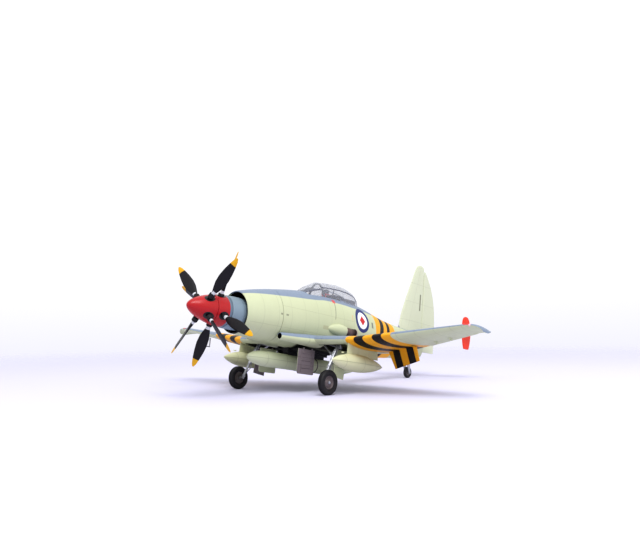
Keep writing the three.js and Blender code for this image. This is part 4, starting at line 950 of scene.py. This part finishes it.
def root_intakes():
    front, rear, x, z, radius = 64.5, 96.0, 14.6, -10.4, 2.2
    growth = np.array([(0, 1, 1), (0.04, 1.15, 1.15), (0.4, 1.8, 1.45), (0.75, 3, 1.8), (1, 3.6, 1.9)])
    turn = np.linspace(0, 2 * math.pi, 48, endpoint=False)

    def ring(t, shrink, y=None):
        wide, tall = np.interp(t, growth[:, 0], growth[:, 1]), np.interp(t, growth[:, 0], growth[:, 2])
        middle = x + (wide - 1) * radius * 0.75
        at = front + (rear - front) * t if y is None else y
        return np.stack([middle + (wide * radius - shrink) * np.cos(turn), np.full(48, at),
                         z + (tall * radius - shrink) * np.sin(turn)], 1)
    rings = [ring(0.0, 0.45, 71), ring(0.0, 0.45, front + 0.6), ring(0, 0.35, front + 0.1),
             ring(0, 0.15, front)]
    rings += [ring(t, 0) for t in np.linspace(0.01, 1, 34)]
    p = Look("root_intake_paint")
    lower = p.above(p.add(p.z, p.mul(p.sub(p.y, 65), -0.02)), -9.9, 0.2)
    duct = p.both(p.below(p.y, 71.2), p.below(p.math("SQRT", p.add(
        p.mul(p.sub(p.size(p.x), x), p.sub(p.size(p.x), x)), p.mul(p.sub(p.z, z), p.sub(p.z, z)))), 1.86,
        0.06))
    colour = p.mix(duct, p.mix(lower, SKY, DECK), srgb(18, 18, 18))
    paint_finish(p, colour, p.lines(p.y, [84.5]))
    both_sides("intake_fairing", "root", p.material, skin(rings), ["root_intake_SIDE"])


# ---------------------------------------------------------------- tail
FIN_FORM = np.array([(0, 0, 1), (0.12, 0.02, 1), (0.34, 0.13, 1), (0.59, 0.33, 1), (0.78, 0.5, 1),
                     (0.91, 0.61, 1),
                     (0.97, 0.68, 1), (1, 0.8, 0.9)])
RUDDER_FORM = np.array([(0, 1), (0.4, 0.96), (0.555, 0.885), (0.694, 0.75), (0.827, 0.53), (0.936, 0.25),
                        (1, 0.06)])


def tail_station(x):
    t = x / 57.3
    return 232 + 7 * t, 26 - 10 * t, 10.4 + x * math.tan(math.radians(8.5)), 2.6 - 1.3 * t


def tail():
    foot, top, lead, trail = 8.0, 72.9, 215.0, 247.7
    rings = []
    for rise in np.unique(np.concatenate([np.linspace(0, 0.97, 30), np.linspace(0.97, 1, 6)])):
        sweep, end = np.interp(rise, FIN_FORM[:, 0], FIN_FORM[:, 1]), np.interp(rise, FIN_FORM[:, 0],
                                                                                FIN_FORM[:, 2])
        front, back = lead + sweep * (trail - lead), lead + end * (trail - lead)
        half = (3.4 + (1.3 - 3.4) * rise) / 2
        half *= 1 if rise < 0.97 else math.sqrt(max(1 - ((rise - 0.97) / 0.0303) ** 2, 0.02))
        s = (1 - np.cos(np.linspace(0, math.pi, 18))) / 2
        w = np.interp(s, [0, 0.01, 0.04, 0.2, 0.5, 1], [0, 0.26, 0.48, 0.85, 1, 0.9]) * half
        y = front + s * (back - front)
        z = np.full(18, foot + rise * (top - foot))
        rings.append(np.concatenate([np.stack([w, y, z], 1), np.stack([-w, y, z], 1)[::-1][:-1]]))
    piece("fin_skin", "root", FIN_SKY, skin(rings), ["fin"], sharp=32)
    ends = []
    for rise in np.linspace(0.03, 1, 24):
        trail_by = 20.8 * float(np.interp(rise, RUDDER_FORM[:, 0], RUDDER_FORM[:, 1]))
        ends.append((np.array([0, TAIL_Y, -2 + rise * 70.5]), (3.4 - 2.1 * rise) * 0.45, trail_by))
    rudder = piece("rudder_skin", "rudder_body", FIN_SKY, surface(ends, np.array([-1.0, 0, 0]), 40),
                   ["rudder"], sharp=32)
    carve(rudder, [skin([hull_ring(y, 1.6, 48) for y in (230, 240, TAIL_Y + 1.0)])], 32)
    rounding, stations, root_part = 5.0, [], []
    for x in np.linspace(1.0, 41.2, 20):
        front, chord, z, thick = tail_station(x)
        root_part.append(foil_ring(x, front, chord, z, thick, edge=0.18, keep=(246.5 - front) / chord))
    round_off = [57.3 - rounding + rounding * math.sin(a) for a in np.linspace(0.15, 1.57, 9)]
    for x in list(np.linspace(41.2, 57.3 - rounding, 8)) + round_off:
        front, chord, z, thick = tail_station(x)
        cut = 0.0 if x <= 57.3 - rounding else 0.32 * (1 - math.sqrt(max(1 - ((x - 52.3) / 5.0) ** 2, 0)))
        stations.append(foil_ring(x, front + chord * cut, chord * (1 - 2 * cut), z, thick * (1 - cut),
                                  edge=0.18))
    ends = []
    for x in (10.5, 41.0):
        front, chord, z, thick = tail_station(x)
        ends.append((np.array([x, 248.0, z]), fullness((248 - front) / chord) * thick / 2,
                     front + chord - 248))
    up = np.array([0, 0, 1.0])
    both_sides("tailplane_skin", "root", TAIL, merged(skin(root_part), skin(stations)), ["tailplane_SIDE"],
               sharp=30)
    both_sides("elevator_skin", "elevator_SIDE_body", TAIL, surface(ends, up, 16), ["elevator_SIDE"],
               sharp=30)
    corner = [(246.5, 2.5), (253.9, 2.5), (256, 15.5), (253.3, 24.5), (251.4, 27.3), (249.2, 28.5),
              (246.3, 28.5),
              (243.8, 27.3), (242.5, 24.5), (242.5, 15.5)]
    outline = smooth_outline(corner, 5)
    middle = outline.mean(0)
    rings = []
    for x, share in ((-0.6, 0.84), (-0.55, 0.93), (-0.32, 0.985), (0, 1), (0.32, 0.985), (0.55, 0.93),
                     (0.6, 0.84)):
        flat = middle + (outline - middle) * share
        flat[:, 1] = np.clip(flat[:, 1], 2.5, 28.5)
        rings.append(np.column_stack([np.full(len(flat), 43.8 + x), flat]))
    both_sides("finlet_skin", "root", FINLET_RED, skin(rings), ["finlet_SIDE"])


# ---------------------------------------------------------------- cockpit and canopy
GLAZING = np.array([(91.5, 0.42, 0), (99.5, 0.8, 0.43), (110, 0.98, 0.83), (120, 1, 0.94), (131, 1, 1),
                    (141, 0.98, 0.95), (149, 0.9, 0.78), (153.5, 0.74, 0.45), (156, 0.5, 0.1)])
FOOT_Z, CROWN_Z = 19.5, 35.6


def glaze_point(y, angle, grow=0.0):
    width = np.interp(y, GLAZING[:, 0], GLAZING[:, 1]) * 7.9 + grow
    crown = 24 + np.interp(y, GLAZING[:, 0], GLAZING[:, 2]) * (CROWN_Z - 24) + grow
    lift = np.maximum(np.sin(angle), 0) ** 0.8
    return np.stack([width * np.cos(angle), y + 0 * angle, FOOT_Z + (crown - FOOT_Z) * lift], -1)


def glazing_shell(front, rear):
    places = np.linspace(front, rear, 34)
    arch = np.linspace(0.02, math.pi - 0.02, 40)
    shell = [np.concatenate([glaze_point(y, arch), glaze_point(y, arch[::-1], -0.45)]) for y in places]
    return skin(shell)


def strip(y0, y1, a0, a1, rise=0.16, depth=0.5, steps=30, across=4):
    """A frame over the glazing: from y0, a0 to y1, a1 when slim, or round it between y0 and y1."""
    rings = []
    for t in np.linspace(0, 1, steps):
        angle = a0 + (a1 - a0) * t
        ys = np.linspace(y0, y1, across)
        top = [glaze_point(y, np.array(angle), rise) for y in ys]
        low = [glaze_point(y, np.array(angle), -depth) for y in ys[::-1]]
        rings.append(np.array(top + low))
    return skin(rings)


def rail(points, width, rise=0.16, depth=0.5):
    """A slim frame along a path of (y, angle) pairs on the glazing."""
    rings = []
    for y, angle in points:
        here = glaze_point(y, np.array(angle))
        out = glaze_point(y, np.array(angle), 1.0) - here
        out /= np.linalg.norm(out)
        ahead = glaze_point(y + 0.5, np.array(angle)) - here
        ahead /= np.linalg.norm(ahead)
        side = np.cross(ahead, out)
        side /= np.linalg.norm(side)
        rings.append(np.array([here + side * width / 2 + out * rise, here - side * width / 2 + out * rise,
                               here - side * width / 2 - out * depth, here + side * width / 2 - out * depth]))
    return skin(rings)


def canopy():
    below = skin([hull_ring(y, 0.25, 96) for y in np.linspace(70, 190, 60)])
    screen = piece("windscreen_clear", "root", CLEAR, glazing_shell(91.7, 109.8), ["windscreen"])
    carve(screen, [below])
    hood = piece("hood_clear", "hood", CLEAR, glazing_shell(110.2, 155.9), ["canopy_hood"])
    carve(hood, [below])
    both = math.pi
    screen_frames = [strip(108.4, 109.8, 0.05, both - 0.05), strip(91.6, 93.6, 0.05, both - 0.05)]
    for angle in (0.62, 1.12):
        for side in (angle, both - angle):
            screen_frames.append(rail([(y, side) for y in np.linspace(92, 109.6, 24)], 0.9))
    for side in (0.30, both - 0.30):
        screen_frames.append(rail([(y, side) for y in np.linspace(92, 109.6, 24)], 1.6))
    made = piece("windscreen_frame", "root", FRAME_GREY, merged(*screen_frames), sharp=40)
    carve(made, [below], 40)
    hood_frames = [strip(110.2, 111.9, 0.05, both - 0.05), strip(153.2, 155.9, 0.05, both - 0.05)]
    for side in (0.27, both - 0.27):
        hood_frames.append(rail([(y, side) for y in np.linspace(111, 155.5, 50)], 2.4))
    for side in (0.75, both - 0.75):
        hood_frames.append(rail([(y, side) for y in np.linspace(111, 155.2, 50)], 0.45))
    made = piece("hood_frame", "hood", FRAME_GREY, merged(*hood_frames), sharp=40)
    carve(made, [below], 40)
    bow = strip(111.9, 113.4, 0.35, both - 0.35, rise=-0.55, depth=1.3)
    piece("hood_bow", "hood", SEAT, bow)


def cockpit():
    outer = block((-7.2, 96, 6), (7.2, 133, 21.5), 0.15)
    tub = piece("tub_skin", "root", TUB, outer, ["cockpit_tub"])
    carve(tub, [block((-6.3, 96.9, 6.9), (6.3, 132.1, 30), 0.25)])
    fittings = [rod((0, 111, 6.4), (0, 111, 14.9), 0.5, 0.4),
                rod((0, 111, 14.7), (0, 110.8, 16.9), 0.85, 0.7),
                lathe([(0, 6.9), (1.6, 6.9), (1.3, 7.8), (0.6, 8.6), (0, 8.6)], 24, (0, 111, 0), along="Z")]
    piece("stick_skin", "root", SEAT, merged(*fittings))
    consoles = [block((-6.2, 105, 7), (-4.1, 126, 15), 0.25), block((4.1, 105, 7), (6.2, 126, 15), 0.25)]
    consoles += [rod((s * 5.1, 112, 15), (s * 5.1, 111, 17.4), 0.3, 0.35) for s in (-1, 1)]
    consoles += [block((s * 5.1 - 0.6, y, 14.9), (s * 5.1 + 0.6, y + 1.6, 15.4), 0.12) for s in (-1,
            1) for y in (106.5, 115, 118.5)]
    piece("side_consoles", "root", TUB, merged(*consoles))
    panel = [block((-5.9, 103, 11.5), (5.9, 104.2, 22.4), 0.3)]
    piece("panel_skin", "root", DIALS, merged(*panel), ["instrument_panel"])
    bezels = []
    for x in (-4.2, -1.4, 1.4, 4.2):
        for z in (14.2, 17.2, 20.2):
            bezels.append(lathe([(0.75, 104.1), (1.05, 104.15), (1.1, 104.5), (0.95, 104.6), (0.85, 104.3)],
                                24, (x, 0, z), loop=True))
    piece("panel_bezels", "root", FRAME_GREY, merged(*bezels))
    shroud = strip(102.2, 105.4, 0.75, math.pi - 0.75, rise=-2.2, depth=3.0)
    piece("panel_shroud", "root", SEAT, shroud)
    half = 3.2
    seat = [block((-half, 116.2, 8.2), (half, 122, 11.2), 0.7),
            block((-half, 121.9, 8.2), (half, 123.6, 26.0), 0.6),
            block((-2.0, 121.1, 25.8), (2.0, 124.4, 30.6), 0.6),
            block((-half - 0.5, 116.2, 8.2), (-half + 0.1, 122.8, 13.4), 0.2),
            block((half - 0.1, 116.2, 8.2), (half + 0.5, 122.8, 13.4), 0.2)]
    piece("seat_skin", "root", SEAT, merged(*seat), ["pilot_seat"])
    pad = [block((-2.7, 116.8, 11.1), (2.7, 121.7, 12.1), 0.5),
           block((-2.5, 121.2, 12.3), (2.5, 122.0, 25.4), 0.4)]
    piece("seat_pad", "root", OLIVE, merged(*pad))
    straps = []
    for s in (-1, 1):
        straps.append(block((s * 1.5 - 0.55, 120.85, 12.2), (s * 1.5 + 0.55, 121.25, 27.2), 0.1))
        straps.append(block((s * 1.5 - 0.55, 117.0, 12.0), (s * 1.5 + 0.55, 121.0, 12.35), 0.1))
        straps.append(block((s * 1.5 - 0.75, 120.6, 26.6), (s * 1.5 + 0.75, 124.6, 27.4), 0.1))
    piece("seat_harness", "root", WEB, merged(*straps))
    shelf = [block((-5.6, 134, 22), (5.6, 151, 26.6), 0.6), block((-4.6, 127, 22), (4.6, 136, 27.6), 0.6),
             rod((-3.2, 125.4, 20), (-3.2, 127.6, 31.0), 0.4), rod((3.2, 125.4, 20), (3.2, 127.6, 31.0), 0.4)]
    piece("rear_shelf", "root", SEAT, merged(*shelf))
    buckles = [block((s * 1.5 - 0.75, 120.6, 16.4), (s * 1.5 + 0.75, 120.95, 17.6), 0.1) for s in (-1, 1)]
    piece("harness_buckles", "root", SILVER, merged(*buckles))


# ---------------------------------------------------------------- undercarriage
WHEEL = (41.5, 84.0, -37.6)


def main_gear():
    x, y, z = WHEEL
    radius = row([WHEEL])[0][2] / MM
    half = 2.1
    profile = [(4.4, -1.36), (5.0, -1.75), (6.0, -2.04), (6.7, -half), (7.3, -1.95), (7.75, -1.6),
               (radius - 0.06, -1.1)]
    for groove in (-0.72, 0.0, 0.72):
        profile += [(radius, groove - 0.32), (radius, groove - 0.16), (radius - 0.22, groove - 0.1),
                    (radius - 0.22, groove + 0.1), (radius, groove + 0.16), (radius, groove + 0.32)]
    profile += [(radius - 0.06, 1.1), (7.75, 1.6), (7.3, 1.95), (6.7, half), (6.0, 2.04), (5.0, 1.75),
                (4.4, 1.36)]
    both_sides("main_tyre_skin", "wheel_SIDE", RUBBER, lathe(profile, 96, WHEEL, "X", loop=True),
               ["main_tyre_SIDE"])
    rim = [(1.1, -1.26), (3.6, -1.26), (4.05, -1.26), (4.25, -0.9), (4.1, -0.6), (4.1, 0.8), (4.25, 1.26),
           (3.95, 1.26),
           (3.7, 0.8), (3.1, 0.55), (2.4, 0.75), (2.1, 1.0), (1.5, 1.1), (1.1, 1.1)]
    hub = lathe(rim, 64, WHEEL, "X", loop=True)
    cap = lathe([(0, 1.75), (0.75, 1.7), (0.95, 1.45), (0.95, 1.0), (0, 1.0)], 32, WHEEL, "X")
    extras = []
    for k in range(8):
        a = k * math.pi / 4
        spot = (x, y + 2.75 * math.cos(a), z + 2.75 * math.sin(a))
        extras.append(lathe([(0, 0.45), (0.32, 0.45), (0.32, 0.82), (0.2, 0.92), (0, 0.92)], 12, spot, "X"))
    both_sides("main_hub_skin", "wheel_SIDE", HUB, merged(hub, *extras), ["main_hub_SIDE"])
    both_sides("axle_cap", "wheel_SIDE", SILVER, cap)
    brake = lathe([(0.95, -1.9), (3.0, -1.9), (3.3, -1.7), (3.3, -1.35), (0.95, -1.35)], 48, WHEEL, "X",
                  loop=True)
    both_sides("brake_drum", "root", STEEL, brake)
    foot, head = np.array([37, y, z]), np.array([37, 98, -9.7])

    def on_leg(share, aft=0.0, out=0.0):
        return foot + (head - foot) * share + np.array([out, aft, 0])
    leg = [rod(foot, on_leg(0.42), 0.72), rod(on_leg(0.38), on_leg(0.46), 1.35),
           rod(on_leg(0.42), head, 1.15),
           rod(on_leg(0.7), on_leg(0.73), 1.4), rod(on_leg(0.9), on_leg(0.93), 1.4),
           rod(foot + (-0.9, 0, 0), (x + 0.6, y, z), 0.8),
           rod(on_leg(0.05, 0, -0.9), on_leg(0.05, 0, 0.9), 0.9),
           rod(on_leg(0.62), (22, 98, -10.5), 0.6), rod(on_leg(0.1, 0.2), on_leg(0.28, 3.0), 0.4, 0.3),
           rod(on_leg(0.28, 3.0), on_leg(0.47, 0.4), 0.3, 0.4),
           rod(on_leg(0.28, 3.0, -0.6), on_leg(0.28, 3.0, 0.6), 0.4),
           rod(on_leg(0.36, -1.3), on_leg(0.8, -1.6), 0.22),
           rod(on_leg(0.05, -0.9), on_leg(0.36, -1.3), 0.18)]
    both_sides("main_leg_skin", "root", SILVER, merged(*leg), ["main_leg_SIDE"])
    door = plate([(80, -16.4), (96, -16.4), (96, -32.4), (95.5, -32.9), (81, -32.9), (80, -31.9)], 17.7,
                 0.7, 0.15)
    stiff = [block((18.0, 82, zz), (18.35, 94.5, zz + 0.6), 0.1) for zz in (-19.5, -24.2, -29)]
    stiff += [block((18.0, yy, -31.5), (18.35, yy + 0.6, -17.4), 0.1) for yy in (83, 93.4)]
    stiff += [rod((18.0, 84.5, -17.2), (18.6, 84.5, -15.6), 0.4),
              rod((18.0, 92.5, -17.2), (18.6, 92.5, -15.6), 0.4)]
    both_sides("gear_door_skin", "root", INNER_DOOR, merged(door, *stiff), ["gear_door_SIDE"])

    def back(at):
        return y + (98 - y) * (at - z) / (-9.7 - z) + 1.8
    corner = [(back(-15.5), -15.5), (back(-15.5) + 9.4, -15.5), (back(-15.5) + 7.4, -34.5),
              (back(-23.5) + 1, -33),
              (back(-23.5) + 1.8, -24.7), (back(-23.5), -23.5)]
    door = plate(corner, 37, 0.66, 0.12)
    both_sides("leg_door_skin", "root", LEG_DOOR, door, ["leg_door_SIDE"])


def tail_gear():
    y, z, half = 234.0, -19.0, 1.3
    radius = row([(0, y, z)])[0][2] / MM
    profile = [(1.0, -0.9), (2.5, -0.9), (2.6, -0.9), (3.2, -1.22), (3.8, -half), (4.3, -1.1),
               (radius - 0.05, -0.6),
               (radius, -0.3), (radius, 0.3), (radius - 0.05, 0.6), (4.3, 1.1), (3.8, half), (3.2, 1.22),
               (2.6, 0.9),
               (2.5, 0.9), (1.0, 0.9)]
    piece("tail_tyre_skin", "tail_wheel_body", RUBBER, lathe(profile, 72, (0, y, z), "X", loop=True),
          ["tail_wheel"])
    disc = [lathe([(1.05, s * 0.85), (2.3, s * 0.98), (2.45, s * 0.85), (2.2, s * 0.7), (1.05, s * 0.7)],
                  48, (0, y, z), "X", loop=True)
            for s in (-1, 1)]
    piece("tail_hub", "tail_wheel_body", HUB, merged(*disc))
    arm = 1.3 + 0.3 + 0.4
    corners = [(229.8, -11), (232.6, -11), (235.1, -19), (234.6, -19.9), (233.4, -20), (233, -19.4)]
    fork = [plate(smooth_outline(corners, 4), s * arm, 0.8, 0.15) for s in (-1, 1)]
    fork += [block((-2.4, 229.8, -12), (2.4, 232.6, -10), 0.4), rod((0, 231, -11), (0, 231, -3.5), 1.2),
             rod((0, 231, -10), (0, 231, -9.2), 1.6), rod((0, 231, -5.6), (0, 231, -4.9), 1.5),
             rod((-2.5, y, z), (2.5, y, z), 0.7)]
    piece("tail_fork_skin", "tail_castor", SILVER, merged(*fork), ["tail_fork"])


# ---------------------------------------------------------------- stores
STORE_Z, TANK_X, TANK_Z = -25.0, 50.0, -23.7


def body_profile(front, rear, radius, nose_share, tail_share, blunt, count=60):
    s = (1 - np.cos(np.linspace(0, math.pi, count))) / 2
    r = np.ones(count)
    head, back = s < nose_share, s > 1 - tail_share
    r[head] = (1 - (1 - s[head] / nose_share) ** 2) ** blunt
    r[back] = np.maximum(1 - ((s[back] - 1 + tail_share) / tail_share) ** 2, 0) ** 0.8
    return [(radius * a, front + (rear - front) * b) for a, b in zip(r, s)]


def stores():
    piece("belly_store_skin", "root", STORE, lathe(body_profile(52, 161, 5.2, 0.16, 0.36, 0.5), 72, (0, 0,
            STORE_Z)), ["belly_store"])
    bands = [lathe([(5.15, y), (5.32, y + 0.15), (5.32, y + 0.95), (5.15, y + 1.1)], 72, (0, 0, STORE_Z),
                   loop=True) for y in (97, 114)]
    piece("store_bands", "root", STEEL, merged(*bands))
    tank = body_profile(76.2, 129, 5.7, 0.42, 0.56, 0.75)
    both_sides("drop_tank_skin", "root", TANKS, lathe(tank, 72, (TANK_X, 0, TANK_Z)), ["drop_tank_SIDE"])
    seam = []
    for s in (-1, 1):
        rim = np.array([(TANK_X + s * (r + 0.02), y) for r, y in tank[2:-2]])
        ring = [np.array([(x - s * 0.12, y, -23.85), (x + s * 0.1, y, -23.85), (x + s * 0.1, y, -23.55),
                          (x - s * 0.12, y, -23.55)])
                for x, y in rim]
        seam.append(skin(ring))
    caps = [lathe([(0, -17.7), (0.9, -17.75), (1.0, -18.0), (1.0, -18.4), (0, -18.4)], 24, (TANK_X, 86, 0),
                  along="Z")]
    both_sides("drop_tank_seam", "root", TANKS, merged(*seam, *caps))
    crutch = nodes["store_crutch"]
    dress(crutch, PYLON_SKY, 0.25)
    rings = []
    for zz, front, rear in ((-8.8, 91, 121), (-14, 90.6, 122.2), (-19.6, 90.2, 123.4)):
        s = (1 - np.cos(np.linspace(0, math.pi, 16))) / 2
        w = 1.2 * np.interp(s, [0, 0.06, 0.25, 0.6, 1], [0.15, 0.6, 1, 1, 0.12])
        yy = front + (rear - front) * s
        zz_row = np.full(16, zz)
        rings.append(np.concatenate([np.stack([TANK_X + w, yy, zz_row], 1),
                                     np.stack([TANK_X - w, yy, zz_row], 1)[::-1]]))
    both_sides("tank_pylon_skin", "root", PYLON_SKY, skin(rings), ["pylon_SIDE"], sharp=35)


def dress(node, material, bevel=0.0):
    """A CAD node that is shown as it is, with a soft edge."""
    node.data.materials.clear()
    node.data.materials.append(material)
    if bevel:
        soft = node.modifiers.new("soft_edge", "BEVEL")
        soft.width, soft.segments, soft.limit_method = bevel * MM, 3, "ANGLE"
        soft.angle_limit = math.radians(40)


def small_parts():
    for name in ("prop_bearing", "prop_shaft_inner", "prop_shaft_outer"):
        dress(nodes[name], STEEL, 0.1)
    lead, _, z, thick = wing_station(PITOT_X)
    foot = np.array([-PITOT_X, 104, z - (104 - lead) * SLOPE - thick / 2 - 0.5])
    elbow, tip = foot + (0, 0, -7), foot + (0, -11, -7)
    probe = [rod(foot, elbow, 0.6, 0.42), rod(elbow + (0, 0.35, 0), tip, 0.45, 0.28),
             rod(elbow + (0, -5, 0), elbow + (0, -4, 0), 0.45)]
    piece("pitot_skin", "root", SILVER, merged(*probe), ["pitot_probe"])
    scoop = [rod((0, 141, 25.3), (0, 141, 27.0), 0.5, 0.3)]
    piece("beacon_lamp", "root", SILVER, merged(*scoop))


fuselage()
nose()
spinners()
wings()
root_intakes()
tail()
canopy()
cockpit()
main_gear()
tail_gear()
stores()
small_parts()


# ---------------------------------------------------------------- floor, light and camera
def floor():
    mesh = bpy.data.meshes.new("floor")
    size = 4.0
    mesh.from_pydata([(-size, -size, 0), (size, -size, 0), (size, size, 0), (-size, size, 0)], [],
                     [(0, 1, 2, 3)])
    made = bpy.data.objects.new("floor", mesh)
    bpy.context.scene.collection.objects.link(made)
    material = bpy.data.materials.new("floor_pale")
    material.use_nodes = True
    tree = material.node_tree
    shader = tree.nodes["Principled BSDF"]
    shader.inputs["Base Color"].default_value = srgb(208, 206, 228)
    shader.inputs["Roughness"].default_value = 0.9
    shader.inputs["Specular IOR Level"].default_value = 0.1
    place = tree.nodes.new("ShaderNodeTexCoord")
    length = tree.nodes.new("ShaderNodeVectorMath")
    length.operation = "LENGTH"
    tree.links.new(place.outputs["Object"], length.inputs[0])
    fade = tree.nodes.new("ShaderNodeMapRange")
    fade.interpolation_type = "SMOOTHSTEP"
    fade.inputs["From Min"].default_value, fade.inputs["From Max"].default_value = 0.25, 1.1
    fade.inputs["To Min"].default_value, fade.inputs["To Max"].default_value = 1.0, 0.0
    tree.links.new(length.outputs["Value"], fade.inputs["Value"])
    tree.links.new(fade.outputs["Result"], shader.inputs["Alpha"])
    mesh.materials.append(material)


def light(name, place, size, power, target=(0, 0, 0.04)):
    lamp = bpy.data.lights.new(name, "AREA")
    lamp.size, lamp.energy = size, power
    made = bpy.data.objects.new(name, lamp)
    bpy.context.scene.collection.objects.link(made)
    made.location = place
    made.rotation_euler = (Vector(target) - Vector(place)).to_track_quat("-Z", "Y").to_euler()


def studio():
    world = bpy.data.worlds.new("studio")
    bpy.context.scene.world = world
    world.use_nodes = True
    tree = world.node_tree
    back = tree.nodes["Background"]
    place = tree.nodes.new("ShaderNodeTexCoord")
    split = tree.nodes.new("ShaderNodeSeparateXYZ")
    tree.links.new(place.outputs["Generated"], split.inputs[0])
    rise = tree.nodes.new("ShaderNodeMapRange")
    rise.interpolation_type = "SMOOTHSTEP"
    rise.inputs["From Min"].default_value, rise.inputs["From Max"].default_value = -0.28, 0.22
    tree.links.new(split.outputs["Z"], rise.inputs["Value"])
    tint = tree.nodes.new("ShaderNodeMix")
    tint.data_type = "RGBA"
    tree.links.new(rise.outputs["Result"], tint.inputs[0])
    tint.inputs[6].default_value = srgb(208, 207, 230)
    tint.inputs[7].default_value = (1.0, 1.0, 1.0, 1.0)
    tree.links.new(tint.outputs[2], back.inputs["Color"])
    back.inputs["Strength"].default_value = 0.95
    light("key", (0.5, -0.35, 0.9), 0.6, 6.2)
    light("fill", (0.9, 0.2, 0.35), 0.8, 0.5)
    view = bpy.context.scene.view_settings
    view.view_transform, view.look = "Standard", "Medium High Contrast"


# azimuth aft of the nose's port side, elevation and roll; places in metres of the full-size aircraft
CAMERA_DEGREES = (48.404, -6.030, 4.811)
CAMERA_TARGET, CAMERA_DISTANCE = (0, 5.5, 0), 23.887
KIT_SCALE = 48.0
LENS_MM = 39.612
LENS_SHIFT = (0.00773, 0.07945)  # shares of the frame's width


def camera():
    """Looks at the aircraft from its port bow, from a little below its own level."""
    azimuth, elevation, roll = (math.radians(v) for v in CAMERA_DEGREES)
    ca, sa, ce, se = math.cos(azimuth), math.sin(azimuth), math.cos(elevation), math.sin(elevation)
    back = Vector((ca * ce, -sa * ce, se))
    right, up = Vector((sa, ca, 0)), Vector((-ca * se, sa * se, ce))
    across = right * math.cos(roll) + up * math.sin(roll)
    upward = up * math.cos(roll) - right * math.sin(roll)
    spot = (Vector(CAMERA_TARGET) + back * CAMERA_DISTANCE) * 1000 / KIT_SCALE
    turn = TO_ROW.to_3x3().normalized()
    data = bpy.data.cameras.new("camera")
    data.sensor_width, data.lens = 36.0, LENS_MM
    data.shift_x, data.shift_y = LENS_SHIFT
    data.clip_start, data.clip_end = 0.01, 50
    made = bpy.data.objects.new("camera", data)
    bpy.context.scene.collection.objects.link(made)
    basis = Matrix((turn @ across, turn @ upward, turn @ back)).transposed()
    made.matrix_world = Matrix.Translation(TO_ROW @ spot) @ basis.to_4x4()
    bpy.context.scene.camera = made


floor()
studio()
camera()
